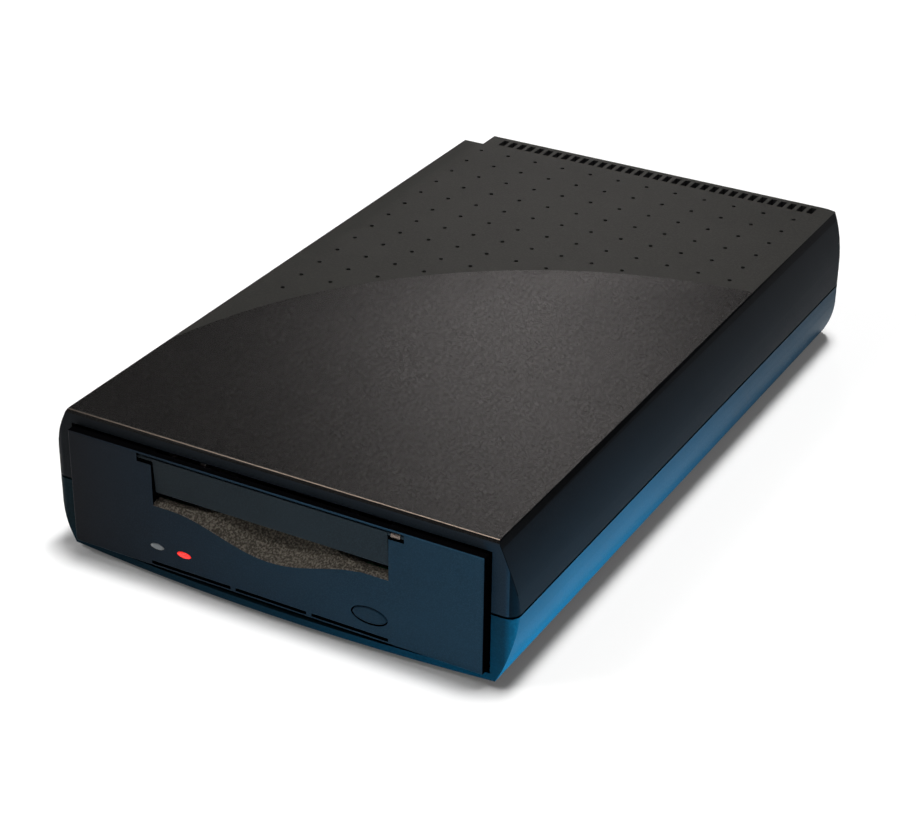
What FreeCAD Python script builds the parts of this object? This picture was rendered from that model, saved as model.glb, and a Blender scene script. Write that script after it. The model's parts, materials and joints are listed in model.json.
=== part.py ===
"""Desktop data tape drive: a two-shell case round a cassette tape mechanism and its power supply.

Frame: millimetres, origin at the centre of the case's footprint on the surface under the feet,
+X to the right seen from the front, +Y to the rear, +Z up. The front of the drive faces -Y.
"""
import FreeCAD, Part
import math
import os

from FreeCAD import Vector

# ---------------------------------------------------------------- driving dimensions: case
case_width = 160.0          # across the flat top and the flat bottom
side_bulge = 6.5            # how far each side swells past the flat top
shell_length = 279.0        # front rim to rear edge
lip_bow = 4.1               # how far the bottom shell's front lip bows forward
foot_height = 2.0           # feet under the bottom shell
body_height = 51.0          # bottom shell underside to top
wall = 2.2                  # shell wall
front_wall = 2.5            # wall round the front opening
front_corner_radius = 4.0   # upright corners at the front, in plan
rear_corner_radius = 12.0   # upright corners at the rear, in plan
top_edge_radius = 1.5       # rounding of the top's front edge
seam_height = 24.5          # middle of the seam above the bottom shell's underside
seam_gap = 0.8              # open groove between the shells
tongue_thickness = 0.9      # bottom shell's tongue inside the top shell
tongue_height = 3.0         # tongue above the seam
fit_gap = 0.1               # between pieces of one assembly that slip into each other
seat_gap = 0.3              # between pieces that rest on each other without touching

# ---------------------------------------------------------------- driving dimensions: top shell
slot_count = 34             # vent slots along the rear edge
slot_width = 2.5
slot_length = 5.5
slot_pitch = 4.115
slot_first_x = -64.2        # centre of the leftmost slot
slot_inset = 5.25           # rear edge to the slots' centre line
hole_radius = 0.9           # round vent holes over the power supply
hole_pitch = 12.5
hole_columns = 12
hole_rows = 13
hole_first_x = -68.75
hole_first_inset = 16.7     # rear edge to the first row
field_radius = 175.0        # arc that bounds the vent holes and the lowered front field
field_centre_x = 91.0
field_centre_inset = 259.0  # rear edge to the arc's centre
field_step = 0.25           # the field inside the arc lies this much lower
notch_width = 8.5           # notch in the rear left corner of the top
notch_length = 10.0
notch_depth = 9.0

# ---------------------------------------------------------------- driving dimensions: front
opening_width = 156.4       # front opening of the case
rim_height = 4.5            # top rim above the front opening
sill_height = 0.3           # rim of the bottom shell above its floor
bezel_width = 154.6
bezel_height = 42.2
bezel_lift = 1.0            # bezel above the bottom rim
bezel_proud = 3.5           # bezel in front of the case's rim
bezel_edge_radius = 0.6
door_width = 87.4
door_height = 13.0
door_thickness = 1.8
door_gap = 0.5              # round the door
door_set_back = 1.0         # bottom edge of the door behind its top edge
hinge_pin_radius = 0.9
hinge_pocket_length = 6.0   # open pocket round each hinge pin
hinge_tip_length = 1.5      # pin tip held in the bezel
hinge_drop = 2.0            # bezel top to the hinge axis
hinge_depth = 1.4           # bezel front to the hinge axis
running_gap = 0.04          # radial clearance of shafts and pins that turn
scoop_drop = 12.0            # door bottom to the lowest point of the finger scoop
scoop_shoulder = 4.5        # door bottom to the scoop's shoulders
scoop_half_width = 38.0     # middle to where the bell-shaped edge levels out
scoop_slope = 36.0          # slope of the scoop's floor, degrees
scoop_wall = 1.8
led_spread = 10.6           # between the two indicator windows
led_x = -43.6
led_z = 13.5
led_width = 5.4
led_height = 2.2
button_x = 37.2
button_z = 13.8
button_width = 12.4
button_height = 5.6
button_gap = 0.45
button_travel = 1.5
slit_z = 6.9                # air slit along the bottom of the bezel
slit_height = 1.1
slit_ends = (-46.0, 44.0)
slit_bars = (-14.1, 14.8)   # bars that break the slit
slit_bar_width = 2.0

# ---------------------------------------------------------------- driving dimensions: mechanism
drive_width = 101.6         # width of a 3.5 inch drive
drive_length = 142.0
drive_inset = 15.45         # case's front rim to the drive
sheet = 1.2                 # side walls of the chassis
deck_thickness = 2.0
deck_z = 13.0               # underside of the deck
cover_z = 46.0              # top of the chassis side walls
cassette_width = 73.0       # standard 4 mm data cassette
cassette_length = 54.0
cassette_height = 10.5
cassette_z = 31.0           # underside of an inserted cassette
cassette_gap = 0.5
holder_sheet = 0.8
holder_drop = 8.5
reel_spacing = 30.0
reel_inset = 27.0           # cassette front to the reels
reel_radius = 9.0
drum_radius = 15.0
drum_inset = 90.0           # drive's front to the head drum's axis
drum_tilt = 5.5             # degrees
drum_gap = 0.3
gear_module = 0.8
loading_teeth = 25
pinion_teeth = 10
sector_teeth = 30
slider_travel = 7.3
arm_pivot_x = 42.0
arm_pivot_inset = 78.0
arm_length = 26.0
arm_rest_angle = 210.0      # direction of the right arm at rest, degrees
capstan_x = 24.0
capstan_inset = 62.0
capstan_radius = 1.25
pinch_radius = 4.0
pinch_pivot_x = 44.0
pinch_rest_angle = 20.0     # the roller's lift from the capstan at rest, degrees
loading_x = 18.0
loading_inset = 127.2
board_thickness = 1.6
screw_radius = 1.5
screw_head_radius = 2.8
screw_head_height = 1.8

# ---------------------------------------------------------------- driving dimensions: rear
rear_opening_width = 136.0
rear_opening_height = 38.0
panel_thickness = 1.4
panel_overlap = 3.0         # panel behind the rear wall's edge
fan_size = 40.0
fan_depth = 10.0
fan_share = 0.331           # axis of the fan, as a share of the opening's width
fan_bore_radius = 19.0
fan_hub_radius = 11.0
fan_blades = 7
inlet_share = -0.338
inlet_width = 27.4
inlet_height = 19.8
inlet_depth = 18.0
switch_share = -0.103
switch_width = 19.0
switch_height = 12.8
rocker_tilt = 8.0
usb_share = 0.066
usb_width = 12.0
usb_height = 11.0
usb_depth = 16.0
socket_flange = 1.6

# ---------------------------------------------------------------- driving dimensions: boards
board_clearance = 5.0       # underside of the boards above the case's floor
board_gap = 14.0            # drive's rear to the power board
board_fan_gap = 11.35       # power board to the fan
transformer_height = 20.0
winding_height = 15.0
capacitor_sizes = ((8.0, 24.0), (6.0, 20.0), (5.0, 18.0))
sink_height = 26.0
header_height = 8.0

# ---------------------------------------------------------------- worked-out reference planes
case_bottom = foot_height
case_top = foot_height + body_height
floor_z = case_bottom + wall
ceiling_z = case_top - wall
seam_z = case_bottom + seam_height
rear_y = (shell_length + lip_bow) / 2
rim_y = rear_y - shell_length
sill_z = floor_z + sill_height
opening_top = case_top - rim_height
inner_front = rim_y + front_wall
inner_rear = rear_y - wall
bezel_front = rim_y - bezel_proud
bezel_bottom = sill_z + bezel_lift
bezel_top = bezel_bottom + bezel_height
bezel_back = rim_y
hinge_z = bezel_top - hinge_drop
hinge_y = bezel_front + hinge_depth
door_top = hinge_z + 0.9
door_bottom = door_top - door_height
deck_top = deck_z + deck_thickness
half_drive = drive_width / 2
drive_front = rim_y + drive_inset
drive_rear = drive_front + drive_length
drum_y = drive_front + drum_inset
arm_pivot_y = drive_front + arm_pivot_inset
capstan_y = drive_front + capstan_inset
loading_y = drive_front + loading_inset
reel_y = drive_front + 2.0 + reel_inset
holder_front = drive_front + 1.0
holder_rear = holder_front + cassette_length + 1.0
slider_z = deck_top + seat_gap
slider_thickness = 1.2
arm_z = slider_z + slider_thickness + 0.5
arm_thickness = 1.5
panel_rear = inner_rear - seat_gap
panel_front = panel_rear - panel_thickness
fan_front = panel_front - seat_gap - fan_depth
fan_x = fan_share * rear_opening_width
inlet_x = inlet_share * rear_opening_width
switch_x = switch_share * rear_opening_width
usb_x = usb_share * rear_opening_width
port_z = case_bottom + body_height / 2
sector_radius = gear_module * sector_teeth / 2
loading_radius = gear_module * loading_teeth / 2
pinion_radius = gear_module * pinion_teeth / 2
rack_x = arm_pivot_x - sector_radius
rear_rack_x = loading_x - loading_radius


# ---------------------------------------------------------------- basic shapes
def box(x0, x1, y0, y1, z0, z1):
    return Part.makeBox(x1 - x0, y1 - y0, z1 - z0, Vector(x0, y0, z0))


def rod(x, y, z0, z1, radius):
    """Upright cylinder."""
    return Part.makeCylinder(radius, z1 - z0, Vector(x, y, z0))


def prism(x, y, z0, z1, radius, sides=8):
    """Upright bar with flat sides."""
    points = []
    for i in range(sides):
        angle = 2 * math.pi * (i + 0.5) / sides
        points.append((x + radius * math.cos(angle), y + radius * math.sin(angle), z0))
    return polygon(points, Vector(0, 0, z1 - z0))


def turn_to(shape, x, y, z, axis, degrees):
    """Turn an upright shape made at the origin about an axis, then carry it to its place."""
    shape.rotate(Vector(0, 0, 0), axis, degrees)
    shape.translate(Vector(x, y, z))
    return shape


def rod_x(y, z, x0, x1, radius):
    return Part.makeCylinder(radius, x1 - x0, Vector(x0, y, z), Vector(1, 0, 0))


def rod_y(x, z, y0, y1, radius):
    return Part.makeCylinder(radius, y1 - y0, Vector(x, y0, z), Vector(0, 1, 0))


def tube(x, y, z0, z1, outer, inner):
    return rod(x, y, z0, z1, outer).cut(rod(x, y, z0 - 1, z1 + 1, inner))


def join(*shapes):
    return shapes[0].fuse(list(shapes[1:])).removeSplitter()


def mirror_x(shape):
    return shape.mirror(Vector(0, 0, 0), Vector(1, 0, 0))


def both_sides(shape):
    return [shape, mirror_x(shape)]


def line(a, b):
    return Part.LineSegment(a, b).toShape()


def arc(a, middle, b):
    return Part.Arc(a, middle, b).toShape()


def slab(edges, direction):
    """Solid from a closed outline and an extrusion vector."""
    return Part.Face(Part.Wire(Part.__sortEdges__(edges))).extrude(direction)


def polygon(points, direction):
    corners = [Vector(*p) for p in points]
    return Part.Face(Part.makePolygon(corners + corners[:1])).extrude(direction)


def rounded_plate(x0, x1, z0, z1, y0, y1, radius):
    """Upright plate in XZ with rounded corners."""
    plate = box(x0, x1, y0, y1, z0, z1)
    corners = [e for e in plate.Edges if abs(e.Vertexes[0].Y - e.Vertexes[1].Y) > 1e-6]
    return plate.makeFillet(radius, corners)


def oval(x, z, width, height, y0, y1):
    """Elliptic rod along Y."""
    ellipse = Part.Ellipse(Vector(0, 0, 0), width / 2, height / 2).toShape()
    face = Part.Face(Part.Wire([ellipse]))
    face.rotate(Vector(0, 0, 0), Vector(1, 0, 0), 90)
    face.translate(Vector(x, y0, z))
    return face.extrude(Vector(0, y1 - y0, 0))


def gear(x, y, z0, z1, teeth, phase=0.0, bore=0.0, first=0, last=None):
    """Spur gear or sector with straight-flanked teeth; phase is the first tooth's direction."""
    pitch_radius = gear_module * teeth / 2
    root = pitch_radius - 1.25 * gear_module
    tip = pitch_radius + 0.8 * gear_module
    step = 360.0 / teeth
    last = teeth if last is None else last
    body = [rod(x, y, z0, z1, root)] if last - first == teeth else []
    for i in range(first, last):
        points = []
        for radius, share in ((root - 0.4, -0.3), (tip, -0.12), (tip, 0.12), (root - 0.4, 0.3)):
            angle = math.radians(phase + step * (i + share))
            points.append((x + radius * math.cos(angle), y + radius * math.sin(angle), z0))
        body.append(polygon(points, Vector(0, 0, z1 - z0)))
    if last - first < teeth:
        start = math.radians(phase + step * (first - 0.5))
        end = math.radians(phase + step * (last - 0.5))
        middle = (start + end) / 2
        centre = Vector(x, y, z0)
        on_rim = [centre + Vector(root * math.cos(a), root * math.sin(a), 0) for a in (start, middle, end)]
        body.append(slab([line(centre, on_rim[0]), arc(*on_rim), line(on_rim[2], centre)],
                         Vector(0, 0, z1 - z0)))
    solid = join(*body)
    return solid.cut(rod(x, y, z0 - 1, z1 + 1, bore)) if bore else solid


def rack_teeth(x, y0, count, side, z0, z1):
    """Row of teeth along Y that point to the given side of X; the first tooth is centred on y0."""
    pitch = math.pi * gear_module
    teeth = []
    for i in range(count):
        middle = y0 + pitch * i
        points = [(x - side * (1.25 * gear_module + 0.4), middle - 0.3 * pitch, z0),
                  (x + side * 0.8 * gear_module, middle - 0.12 * pitch, z0),
                  (x + side * 0.8 * gear_module, middle + 0.12 * pitch, z0),
                  (x - side * (1.25 * gear_module + 0.4), middle + 0.3 * pitch, z0)]
        teeth.append(polygon(points, Vector(0, 0, z1 - z0)))
    return teeth


# ---------------------------------------------------------------- case
def half_width(z, inset=0.0):
    """Half the case's width at a height: each side is one circular arc."""
    half_chord = body_height / 2
    radius = (half_chord ** 2 + side_bulge ** 2) / (2 * side_bulge)
    centre_x = case_width / 2 + side_bulge - radius
    return centre_x + math.sqrt((radius - inset) ** 2 - (z - case_bottom - half_chord) ** 2)


def case_solid(inset, y0, y1):
    """The case's full outline, moved inwards by the inset, between two planes across its length."""
    z0 = case_bottom + inset
    z1 = case_top - inset
    middle_z = (z0 + z1) / 2
    low, middle, high = (half_width(z, inset) for z in (z0, middle_z, z1))
    section = [line(Vector(-low, y0, z0), Vector(low, y0, z0)),
               arc(Vector(low, y0, z0), Vector(middle, y0, middle_z), Vector(high, y0, z1)),
               line(Vector(high, y0, z1), Vector(-high, y0, z1)),
               arc(Vector(-high, y0, z1), Vector(-middle, y0, middle_z), Vector(-low, y0, z0))]
    body = slab(section, Vector(0, y1 - y0, 0))
    plan = box(-middle, middle, y0, y1, z0, z1)
    upright = [e for e in plan.Edges if abs(e.Vertexes[0].Z - e.Vertexes[1].Z) > 1e-6]
    front = [e for e in upright if e.Vertexes[0].Y < 0]
    rear = [e for e in upright if e.Vertexes[0].Y > 0]
    plan = plan.makeFillet(max(front_corner_radius - inset, 0.8), front)
    rear = [e for e in plan.Edges if len(e.Vertexes) == 2 and e.Vertexes[0].Y > y1 - 0.01
            and abs(e.Vertexes[0].X) > middle - 0.01 and abs(e.Vertexes[0].Z - e.Vertexes[1].Z) > 1e-6]
    plan = plan.makeFillet(max(rear_corner_radius - inset, 0.8), rear)
    return body.common(plan)


def case_wall():
    """Both shells as one hollow body with its front and rear openings."""
    hollow = case_solid(0, rim_y, rear_y).cut(case_solid(wall, inner_front, inner_rear))
    half_opening = opening_width / 2
    front = box(-half_opening, half_opening, rim_y - 1, inner_front + 1, sill_z, opening_top)
    half_rear = rear_opening_width / 2
    low = port_z - rear_opening_height / 2
    rear = box(-half_rear, half_rear, inner_rear - 1, rear_y + 1, low, low + rear_opening_height)
    return hollow.cut([front, rear])


def tongue(clearance):
    """Ring inside the top shell that lines the two shells up."""
    outer_inset = wall - tongue_thickness - clearance
    outer = case_solid(outer_inset, rim_y + front_wall - tongue_thickness - clearance, rear_y - outer_inset)
    inner = case_solid(wall, inner_front, inner_rear)
    top = seam_z + tongue_height + clearance
    ring = outer.cut(inner).common(box(-99, 99, rim_y, rear_y, seam_z - tongue_height, top))
    half_opening = opening_width / 2 + tongue_thickness
    half_rear = rear_opening_width / 2 + tongue_thickness
    ring = ring.cut(box(-half_opening, half_opening, rim_y - 1, inner_front + 1, 0, case_top))
    return ring.cut(box(-half_rear, half_rear, inner_rear - 1, rear_y, 0, case_top))


def top_vents():
    """Tools that cut the slots along the rear edge and the round holes outside the field's arc."""
    tools = []
    slot_y = rear_y - slot_inset
    for i in range(slot_count):
        x = slot_first_x + slot_pitch * i
        tools.append(box(x - slot_width / 2, x + slot_width / 2, slot_y - slot_length / 2,
                         slot_y + slot_length / 2, ceiling_z - 1, case_top + 1))
    centre_y = rear_y - field_centre_inset
    for column in range(hole_columns):
        for row in range(hole_rows):
            x = hole_first_x + hole_pitch * column
            y = rear_y - hole_first_inset - hole_pitch * row
            if math.hypot(x - field_centre_x, y - centre_y) > field_radius + hole_radius:
                tools.append(prism(x, y, ceiling_z - 1, case_top + 1, hole_radius))
    return tools


screw_inset = (12.0, 18.5)   # screws from the edges of the flat bottom
screw_places = [(sx * (case_width / 2 - screw_inset[0]), sy * (shell_length / 2 - screw_inset[1]))
                for sx in (-1, 1) for sy in (-1, 1)]
boss_radius = 3.8


def top_shell():
    shell = case_wall().common(box(-99, 99, -199, 199, seam_z + seam_gap / 2, case_top))
    front_edge = [e for e in shell.Edges if e.BoundBox.YMax < rim_y + 0.01 and e.BoundBox.ZMin > case_top - 0.01]
    shell = shell.makeFillet(top_edge_radius, front_edge)
    shell = shell.cut(tongue(fit_gap))
    for x, y in screw_places:
        boss = tube(x, y, seam_z + seam_gap / 2, ceiling_z + 0.2, boss_radius, screw_radius + 0.05)
        shell = shell.fuse(boss)
    left = -case_width / 2
    notch = box(left - 20, left + notch_width, rear_y - notch_length, rear_y + 1,
                case_top - notch_depth, case_top + 1)
    lining = box(left - 20, left + notch_width + wall, rear_y - notch_length - wall, rear_y + 1,
                 case_top - notch_depth - wall, case_top + 1).common(case_solid(0, rim_y, rear_y))
    shell = shell.fuse(lining).cut(notch)
    field = rod(field_centre_x, rear_y - field_centre_inset, case_top - field_step, case_top + 1, field_radius)
    field = field.common(box(-99, 99, rim_y + top_edge_radius, rear_y, case_bottom, case_top + 2))
    return shell.cut(top_vents() + [field]).removeSplitter()


foot_inset = (20.0, 41.5)
foot_places = [(sx * (case_width / 2 - foot_inset[0]), sy * (shell_length / 2 - foot_inset[1]))
               for sx in (-1, 1) for sy in (-1, 1)]
foot_radius = 6.5
foot_recess = 0.7
board_inset = 10.0          # boards from the edge of the flat bottom
power_board_box = (0.05 * case_width, case_width / 2 - board_inset, drive_rear + board_gap,
                   fan_front - board_fan_gap)
interface_board_box = (-case_width / 2 + board_inset, -0.0375 * case_width, drive_rear + board_gap + 6.0,
                       fan_front - board_fan_gap - 4.0)
board_z = floor_z + board_clearance
pillar_radius = 2.6


def corners_of(rectangle, inset):
    x0, x1, y0, y1 = rectangle
    return [(x, y) for x in (x0 + inset, x1 - inset) for y in (y0 + inset, y1 - inset)]


def bottom_shell():
    shell = case_wall().common(box(-99, 99, -199, 199, 0, seam_z - seam_gap / 2))
    chord = case_width / 2 - 0.5
    lip = slab([line(Vector(-chord, rim_y, case_bottom), Vector(chord, rim_y, case_bottom)),
                arc(Vector(chord, rim_y, case_bottom), Vector(0, rim_y - lip_bow, case_bottom),
                    Vector(-chord, rim_y, case_bottom))], Vector(0, 0, sill_z - case_bottom))
    adds = [lip, tongue(0)]
    cuts = []
    for x, y in screw_places:
        adds.append(rod(x, y, floor_z - 0.2, seam_z - seam_gap / 2, boss_radius))
        cuts.append(rod(x, y, 0, seam_z + 1, screw_radius + fit_gap))
        cuts.append(rod(x, y, 0, case_bottom + screw_head_height + fit_gap, screw_head_radius + fit_gap))
    for x, y in foot_places:
        cuts.append(rod(x, y, 0, case_bottom + foot_recess, foot_radius + fit_gap))
    for x, y in corners_of(power_board_box, 4.0) + corners_of(interface_board_box, 4.0):
        adds.append(prism(x, y, floor_z - 0.2, board_z, pillar_radius, 6))
    rib_x = rear_opening_width / 2 + 2.0
    for x in (-rib_x, rib_x):
        adds.append(box(x - 4, x + 4, panel_front - seat_gap - 1.5, panel_front - seat_gap, floor_z - 0.2, floor_z + 5))
    return shell.fuse(adds).cut(cuts)


def rubber_feet():
    return [rod(x, y, 0, case_bottom + foot_recess, foot_radius) for x, y in foot_places]


def case_screws():
    screws = []
    for x, y in screw_places:
        head = rod(x, y, case_bottom, case_bottom + screw_head_height, screw_head_radius)
        screws.append(join(head, prism(x, y, case_bottom, seam_z + 8.0, screw_radius)))
    return screws


# ---------------------------------------------------------------- front bezel, door, button, lamps
def scoop_edge(lower):
    """Bell-shaped curve of the finger scoop on the bezel's front, lowered by a distance."""
    shoulder = door_bottom - scoop_shoulder
    depth = scoop_drop - scoop_shoulder
    points = []
    steps = 16
    for i in range(steps + 1):
        x = scoop_half_width * (2.0 * i / steps - 1)
        z = shoulder - depth * 0.5 * (1 + math.cos(math.pi * x / scoop_half_width))
        points.append(Vector(x, bezel_front, z - lower))
    curve = Part.BSplineCurve()
    curve.interpolate(points, InitialTangent=Vector(1, 0, 0), FinalTangent=Vector(1, 0, 0))
    return curve.toShape()


def scoop_space(lower, half):
    """Slanted prism above the bell-shaped edge; its floor rises to the rear."""
    shoulder = door_bottom - scoop_shoulder - lower
    edge = scoop_edge(lower)
    start = Vector(-scoop_half_width, bezel_front, shoulder)
    end = Vector(scoop_half_width, bezel_front, shoulder)
    top = hinge_z
    outline = [edge, line(end, Vector(half, bezel_front, shoulder)),
               line(Vector(half, bezel_front, shoulder), Vector(half, bezel_front, top)),
               line(Vector(half, bezel_front, top), Vector(-half, bezel_front, top)),
               line(Vector(-half, bezel_front, top), Vector(-half, bezel_front, shoulder)),
               line(Vector(-half, bezel_front, shoulder), start)]
    run = 30.0
    return slab(outline, Vector(0, run, run * math.tan(math.radians(scoop_slope))))


def hinge_pins(radius, length):
    half = door_width / 2
    return both_sides(rod_x(hinge_y, hinge_z, half - 0.5, half + length, radius))


def front_bezel():
    half = bezel_width / 2
    plate = box(-half, half, bezel_front, bezel_back, bezel_bottom, bezel_top)
    rim_edges = [e for e in plate.Edges if e.BoundBox.YMax < bezel_front + 0.01]
    plate = plate.makeFillet(bezel_edge_radius, rim_edges)
    skirt = box(-half, half, bezel_back - 0.5, inner_front + 4.0, bezel_bottom, bezel_top)
    skirt = skirt.cut(box(-half + 1.6, half - 1.6, bezel_back - 1, inner_front + 5, bezel_bottom + 1.6,
                          bezel_top - 1.2))
    flange = box(half - 1.0, half + 3.0, inner_front + seat_gap, inner_front + seat_gap + 2.0,
                 bezel_bottom + 7.5, bezel_top - 5.7)
    half_door = door_width / 2 + door_gap
    floor_block = box(-half_door, half_door, bezel_back - 0.5, bezel_back + 9.6,
                      door_bottom - scoop_drop - 2.4, cassette_z - cassette_gap - 0.3)
    scoop = floor_block.common(scoop_space(scoop_wall, half_door))
    posts = [box(x - 2, x + 2, bezel_back - 0.5, front_board_y, bezel_bottom + 3.5, bezel_bottom + 7.5)
             for x in (-button_x + 15, button_x - 15)]
    bezel = join(plate, skirt, scoop, *posts, *both_sides(flange))
    bezel = bezel.cut(scoop_space(0, half_door))
    cuts = [box(-half_door, half_door, bezel_front - 1, bezel_back + 20, cassette_z - cassette_gap - 0.3,
                door_top + door_gap)]
    pocket = box(half_door - 1, door_width / 2 + hinge_pocket_length, bezel_front - 1, bezel_back - 0.5,
                 hinge_z - 1.5, door_top + door_gap)
    cuts += both_sides(pocket)
    cuts += hinge_pins(hinge_pin_radius + running_gap, hinge_pocket_length + hinge_tip_length + 0.3)
    cuts.append(oval(button_x, button_z, button_width + 2 * button_gap, button_height + 2 * button_gap,
                     bezel_front - 1, bezel_back + 1))
    for x in (led_x, led_x + led_spread):
        cuts.append(oval(x, led_z, led_width + 2 * fit_gap, led_height + 2 * fit_gap,
                         bezel_front - 1, bezel_back + 1))
    stops = [slit_ends[0]] + [b + s * slit_bar_width / 2 for b in slit_bars for s in (-1, 1)] + [slit_ends[1]]
    for x0, x1 in zip(stops[0::2], stops[1::2]):
        cuts.append(box(x0, x1, bezel_front - 1, bezel_back + 1, slit_z - slit_height / 2, slit_z + slit_height / 2))
    return bezel.cut(cuts).removeSplitter()


def door_flap():
    front_top = bezel_front + 0.2
    front_bottom = front_top + door_set_back
    half = door_width / 2
    profile = [(-half, front_top, door_top - 0.3), (-half, front_top + 0.6, door_top),
               (-half, front_top + door_thickness, door_top), (-half, front_bottom + door_thickness, door_bottom),
               (-half, front_bottom, door_bottom)]
    plate = polygon(profile, Vector(door_width, 0, 0))
    pins = hinge_pins(hinge_pin_radius, hinge_pocket_length + hinge_tip_length)
    barrel = rod_x(hinge_y, hinge_z, -half, half, 1.0)
    return join(plate, barrel, *pins)


def door_spring():
    """Coil round the right hinge pin, inside its pocket."""
    x0 = door_width / 2 + 1.2
    outer = rod_x(hinge_y, hinge_z, x0, x0 + 3.6, hinge_pin_radius + 0.45)
    return outer.cut(rod_x(hinge_y, hinge_z, x0 - 1, x0 + 5, hinge_pin_radius + 0.1))


front_board_y = bezel_back + 10.6
front_board_box = (led_x - 10.4, button_x + 12.8)
switch_body_depth = 4.0
button_stop = 1.2


def eject_button():
    cap = oval(button_x, button_z, button_width, button_height, bezel_front - 0.1, bezel_back + 0.6)
    rim = [e for e in cap.Edges if e.BoundBox.YMax < bezel_front]
    cap = cap.makeChamfer(0.35, rim)
    collar = oval(button_x, button_z, button_width + 3.0, button_height + 3.0, bezel_back + seat_gap,
                  bezel_back + seat_gap + button_stop)
    stem = box(button_x - 2, button_x + 2, bezel_back, front_board_y - switch_body_depth - button_travel - 0.6,
               button_z - 2, button_z + 2)
    return join(cap, collar, stem)


def switch_plunger():
    """Plunger of the eject switch: it follows the button's stem into the switch."""
    start = front_board_y - switch_body_depth - button_travel - 0.6
    return rod_y(button_x, button_z, start, start + button_travel + 1.8, 1.4)


def eject_switch():
    body = box(button_x - 4, button_x + 4, front_board_y - switch_body_depth, front_board_y,
               button_z - 4, button_z + 4)
    return body.cut(rod_y(button_x, button_z, front_board_y - switch_body_depth - 1, front_board_y - 0.5, 1.4 + fit_gap))


def led_window(x):
    return oval(x, led_z, led_width, led_height, bezel_front - 0.1, bezel_back + 6.0)


def front_board():
    x0, x1 = front_board_box
    board = box(x0, x1, front_board_y, front_board_y + board_thickness, bezel_bottom + 1.1, led_z + 8.5)
    lamps = [box(x - 1.6, x + 1.6, bezel_back + 6.0 + seat_gap, front_board_y, led_z - 0.9, led_z + 0.9)
             for x in (led_x, led_x + led_spread)]
    plug = box(-12, 8, front_board_y + board_thickness, drive_front - seat_gap, deck_z - 2, deck_top)
    return join(board, plug, *lamps)


# ---------------------------------------------------------------- tape mechanism
bracket_sheet = 1.5
bracket_span = (drive_front + 12.0, drive_front + 92.0)
side_screw_z = 19.0
controller_z = 6.4
controller_box = (-half_drive + 4.8, half_drive - 4.8, drive_front + 60.0, drive_rear - 7.0)


def drive_chassis():
    sides = [box(s * half_drive - (sheet if s > 0 else 0), s * half_drive + (0 if s > 0 else sheet),
                 drive_front, drive_rear, 6.0, cover_z) for s in (-1, 1)]
    deck = box(-half_drive, half_drive, drive_front, drive_rear, deck_z, deck_top)
    rear = box(-half_drive, half_drive, drive_rear - sheet, drive_rear, deck_z, cover_z - 8)
    posts = both_sides(rod(arm_pivot_x, arm_pivot_y, deck_z, arm_z + arm_thickness + 1.2, 1.5))
    posts.append(rod(pinch_pivot_x, capstan_y, deck_z, arm_z + arm_thickness + 4.0, 1.5))
    posts.append(rod(loading_x, loading_y, deck_z, deck_top + 4.6, 1.5))
    for x, y in corners_of(controller_box, 3.0):
        posts.append(prism(x, y, controller_z + board_thickness, deck_z + 0.5, 2.4, 6))
    chassis = join(deck, rear, *sides, *posts)
    cuts = [rod(capstan_x, capstan_y, deck_z - 1, deck_top + 1, capstan_radius + 1.0),
            rod(loading_x + loading_radius + pinion_radius, loading_y, deck_z - 1, deck_top + 1, 2.0)]
    cuts += both_sides(rod(reel_spacing / 2, reel_y, deck_z - 1, deck_top + 1, 2.4))
    for y in (bracket_span[0] + 10, bracket_span[1] - 10):
        cuts += both_sides(rod_x(y, side_screw_z, half_drive - 3, half_drive + 3, screw_radius + 0.05))
    return chassis.cut(cuts)


def drive_cover():
    lid = box(-half_drive, half_drive, drive_front + 0.5, drive_rear, cover_z, cover_z + 1.0)
    window = box(-30, 30, drum_y + 12, drum_y + 40, cover_z - 1, cover_z + 2)
    ribs = [box(-40, 40, drive_front + y, drive_front + y + 2.0, cover_z + 0.9, cover_z + 1.6)
            for y in (22.0, 52.0, 82.0)]
    return join(lid.cut(window), *ribs)


def drive_brackets():
    y0, y1 = bracket_span
    upright = box(half_drive, half_drive + bracket_sheet, y0, y1, floor_z, side_screw_z + 5)
    foot = box(half_drive, half_drive + 11, y0, y1, floor_z, floor_z + bracket_sheet)
    right = join(upright, foot)
    for y in (y0 + 10, y1 - 10):
        right = right.cut(rod_x(y, side_screw_z, half_drive - 1, half_drive + 3, screw_radius + fit_gap))
    return both_sides(right)


def drive_screws():
    screws = []
    for y in (bracket_span[0] + 10, bracket_span[1] - 10):
        outer = half_drive + bracket_sheet
        head = rod_x(y, side_screw_z, outer, outer + screw_head_height, screw_head_radius)
        shank = turn_to(prism(0, 0, 0, bracket_sheet + 2.4, screw_radius), half_drive - 2.4, y, side_screw_z,
                        Vector(0, 1, 0), 90)
        screws += both_sides(join(head, shank))
    return screws


def controller_board():
    x0, x1, y0, y1 = controller_box
    board = box(x0, x1, y0, y1, controller_z, controller_z + board_thickness)
    top = controller_z + board_thickness
    chips = [box(x0 + x, x0 + x + 15, y0 + y, y0 + y + 15, top, top + 1.4)
             for x, y in ((10.0, 42.0), (34.0, 46.0), (6.0, 12.0))]
    return join(board, *chips)


holder_half = cassette_width / 2 + cassette_gap + 0.2
holder_low = cassette_z - cassette_gap - 0.3
holder_high = cassette_z + cassette_height + cassette_gap + 0.3
holder_pin_z = (holder_low + holder_high) / 2
holder_pin_y = (holder_front + 12.0, holder_rear - 12.0)
guide_x = holder_half + holder_sheet + 3.0
guide_sheet = 1.2


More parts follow.
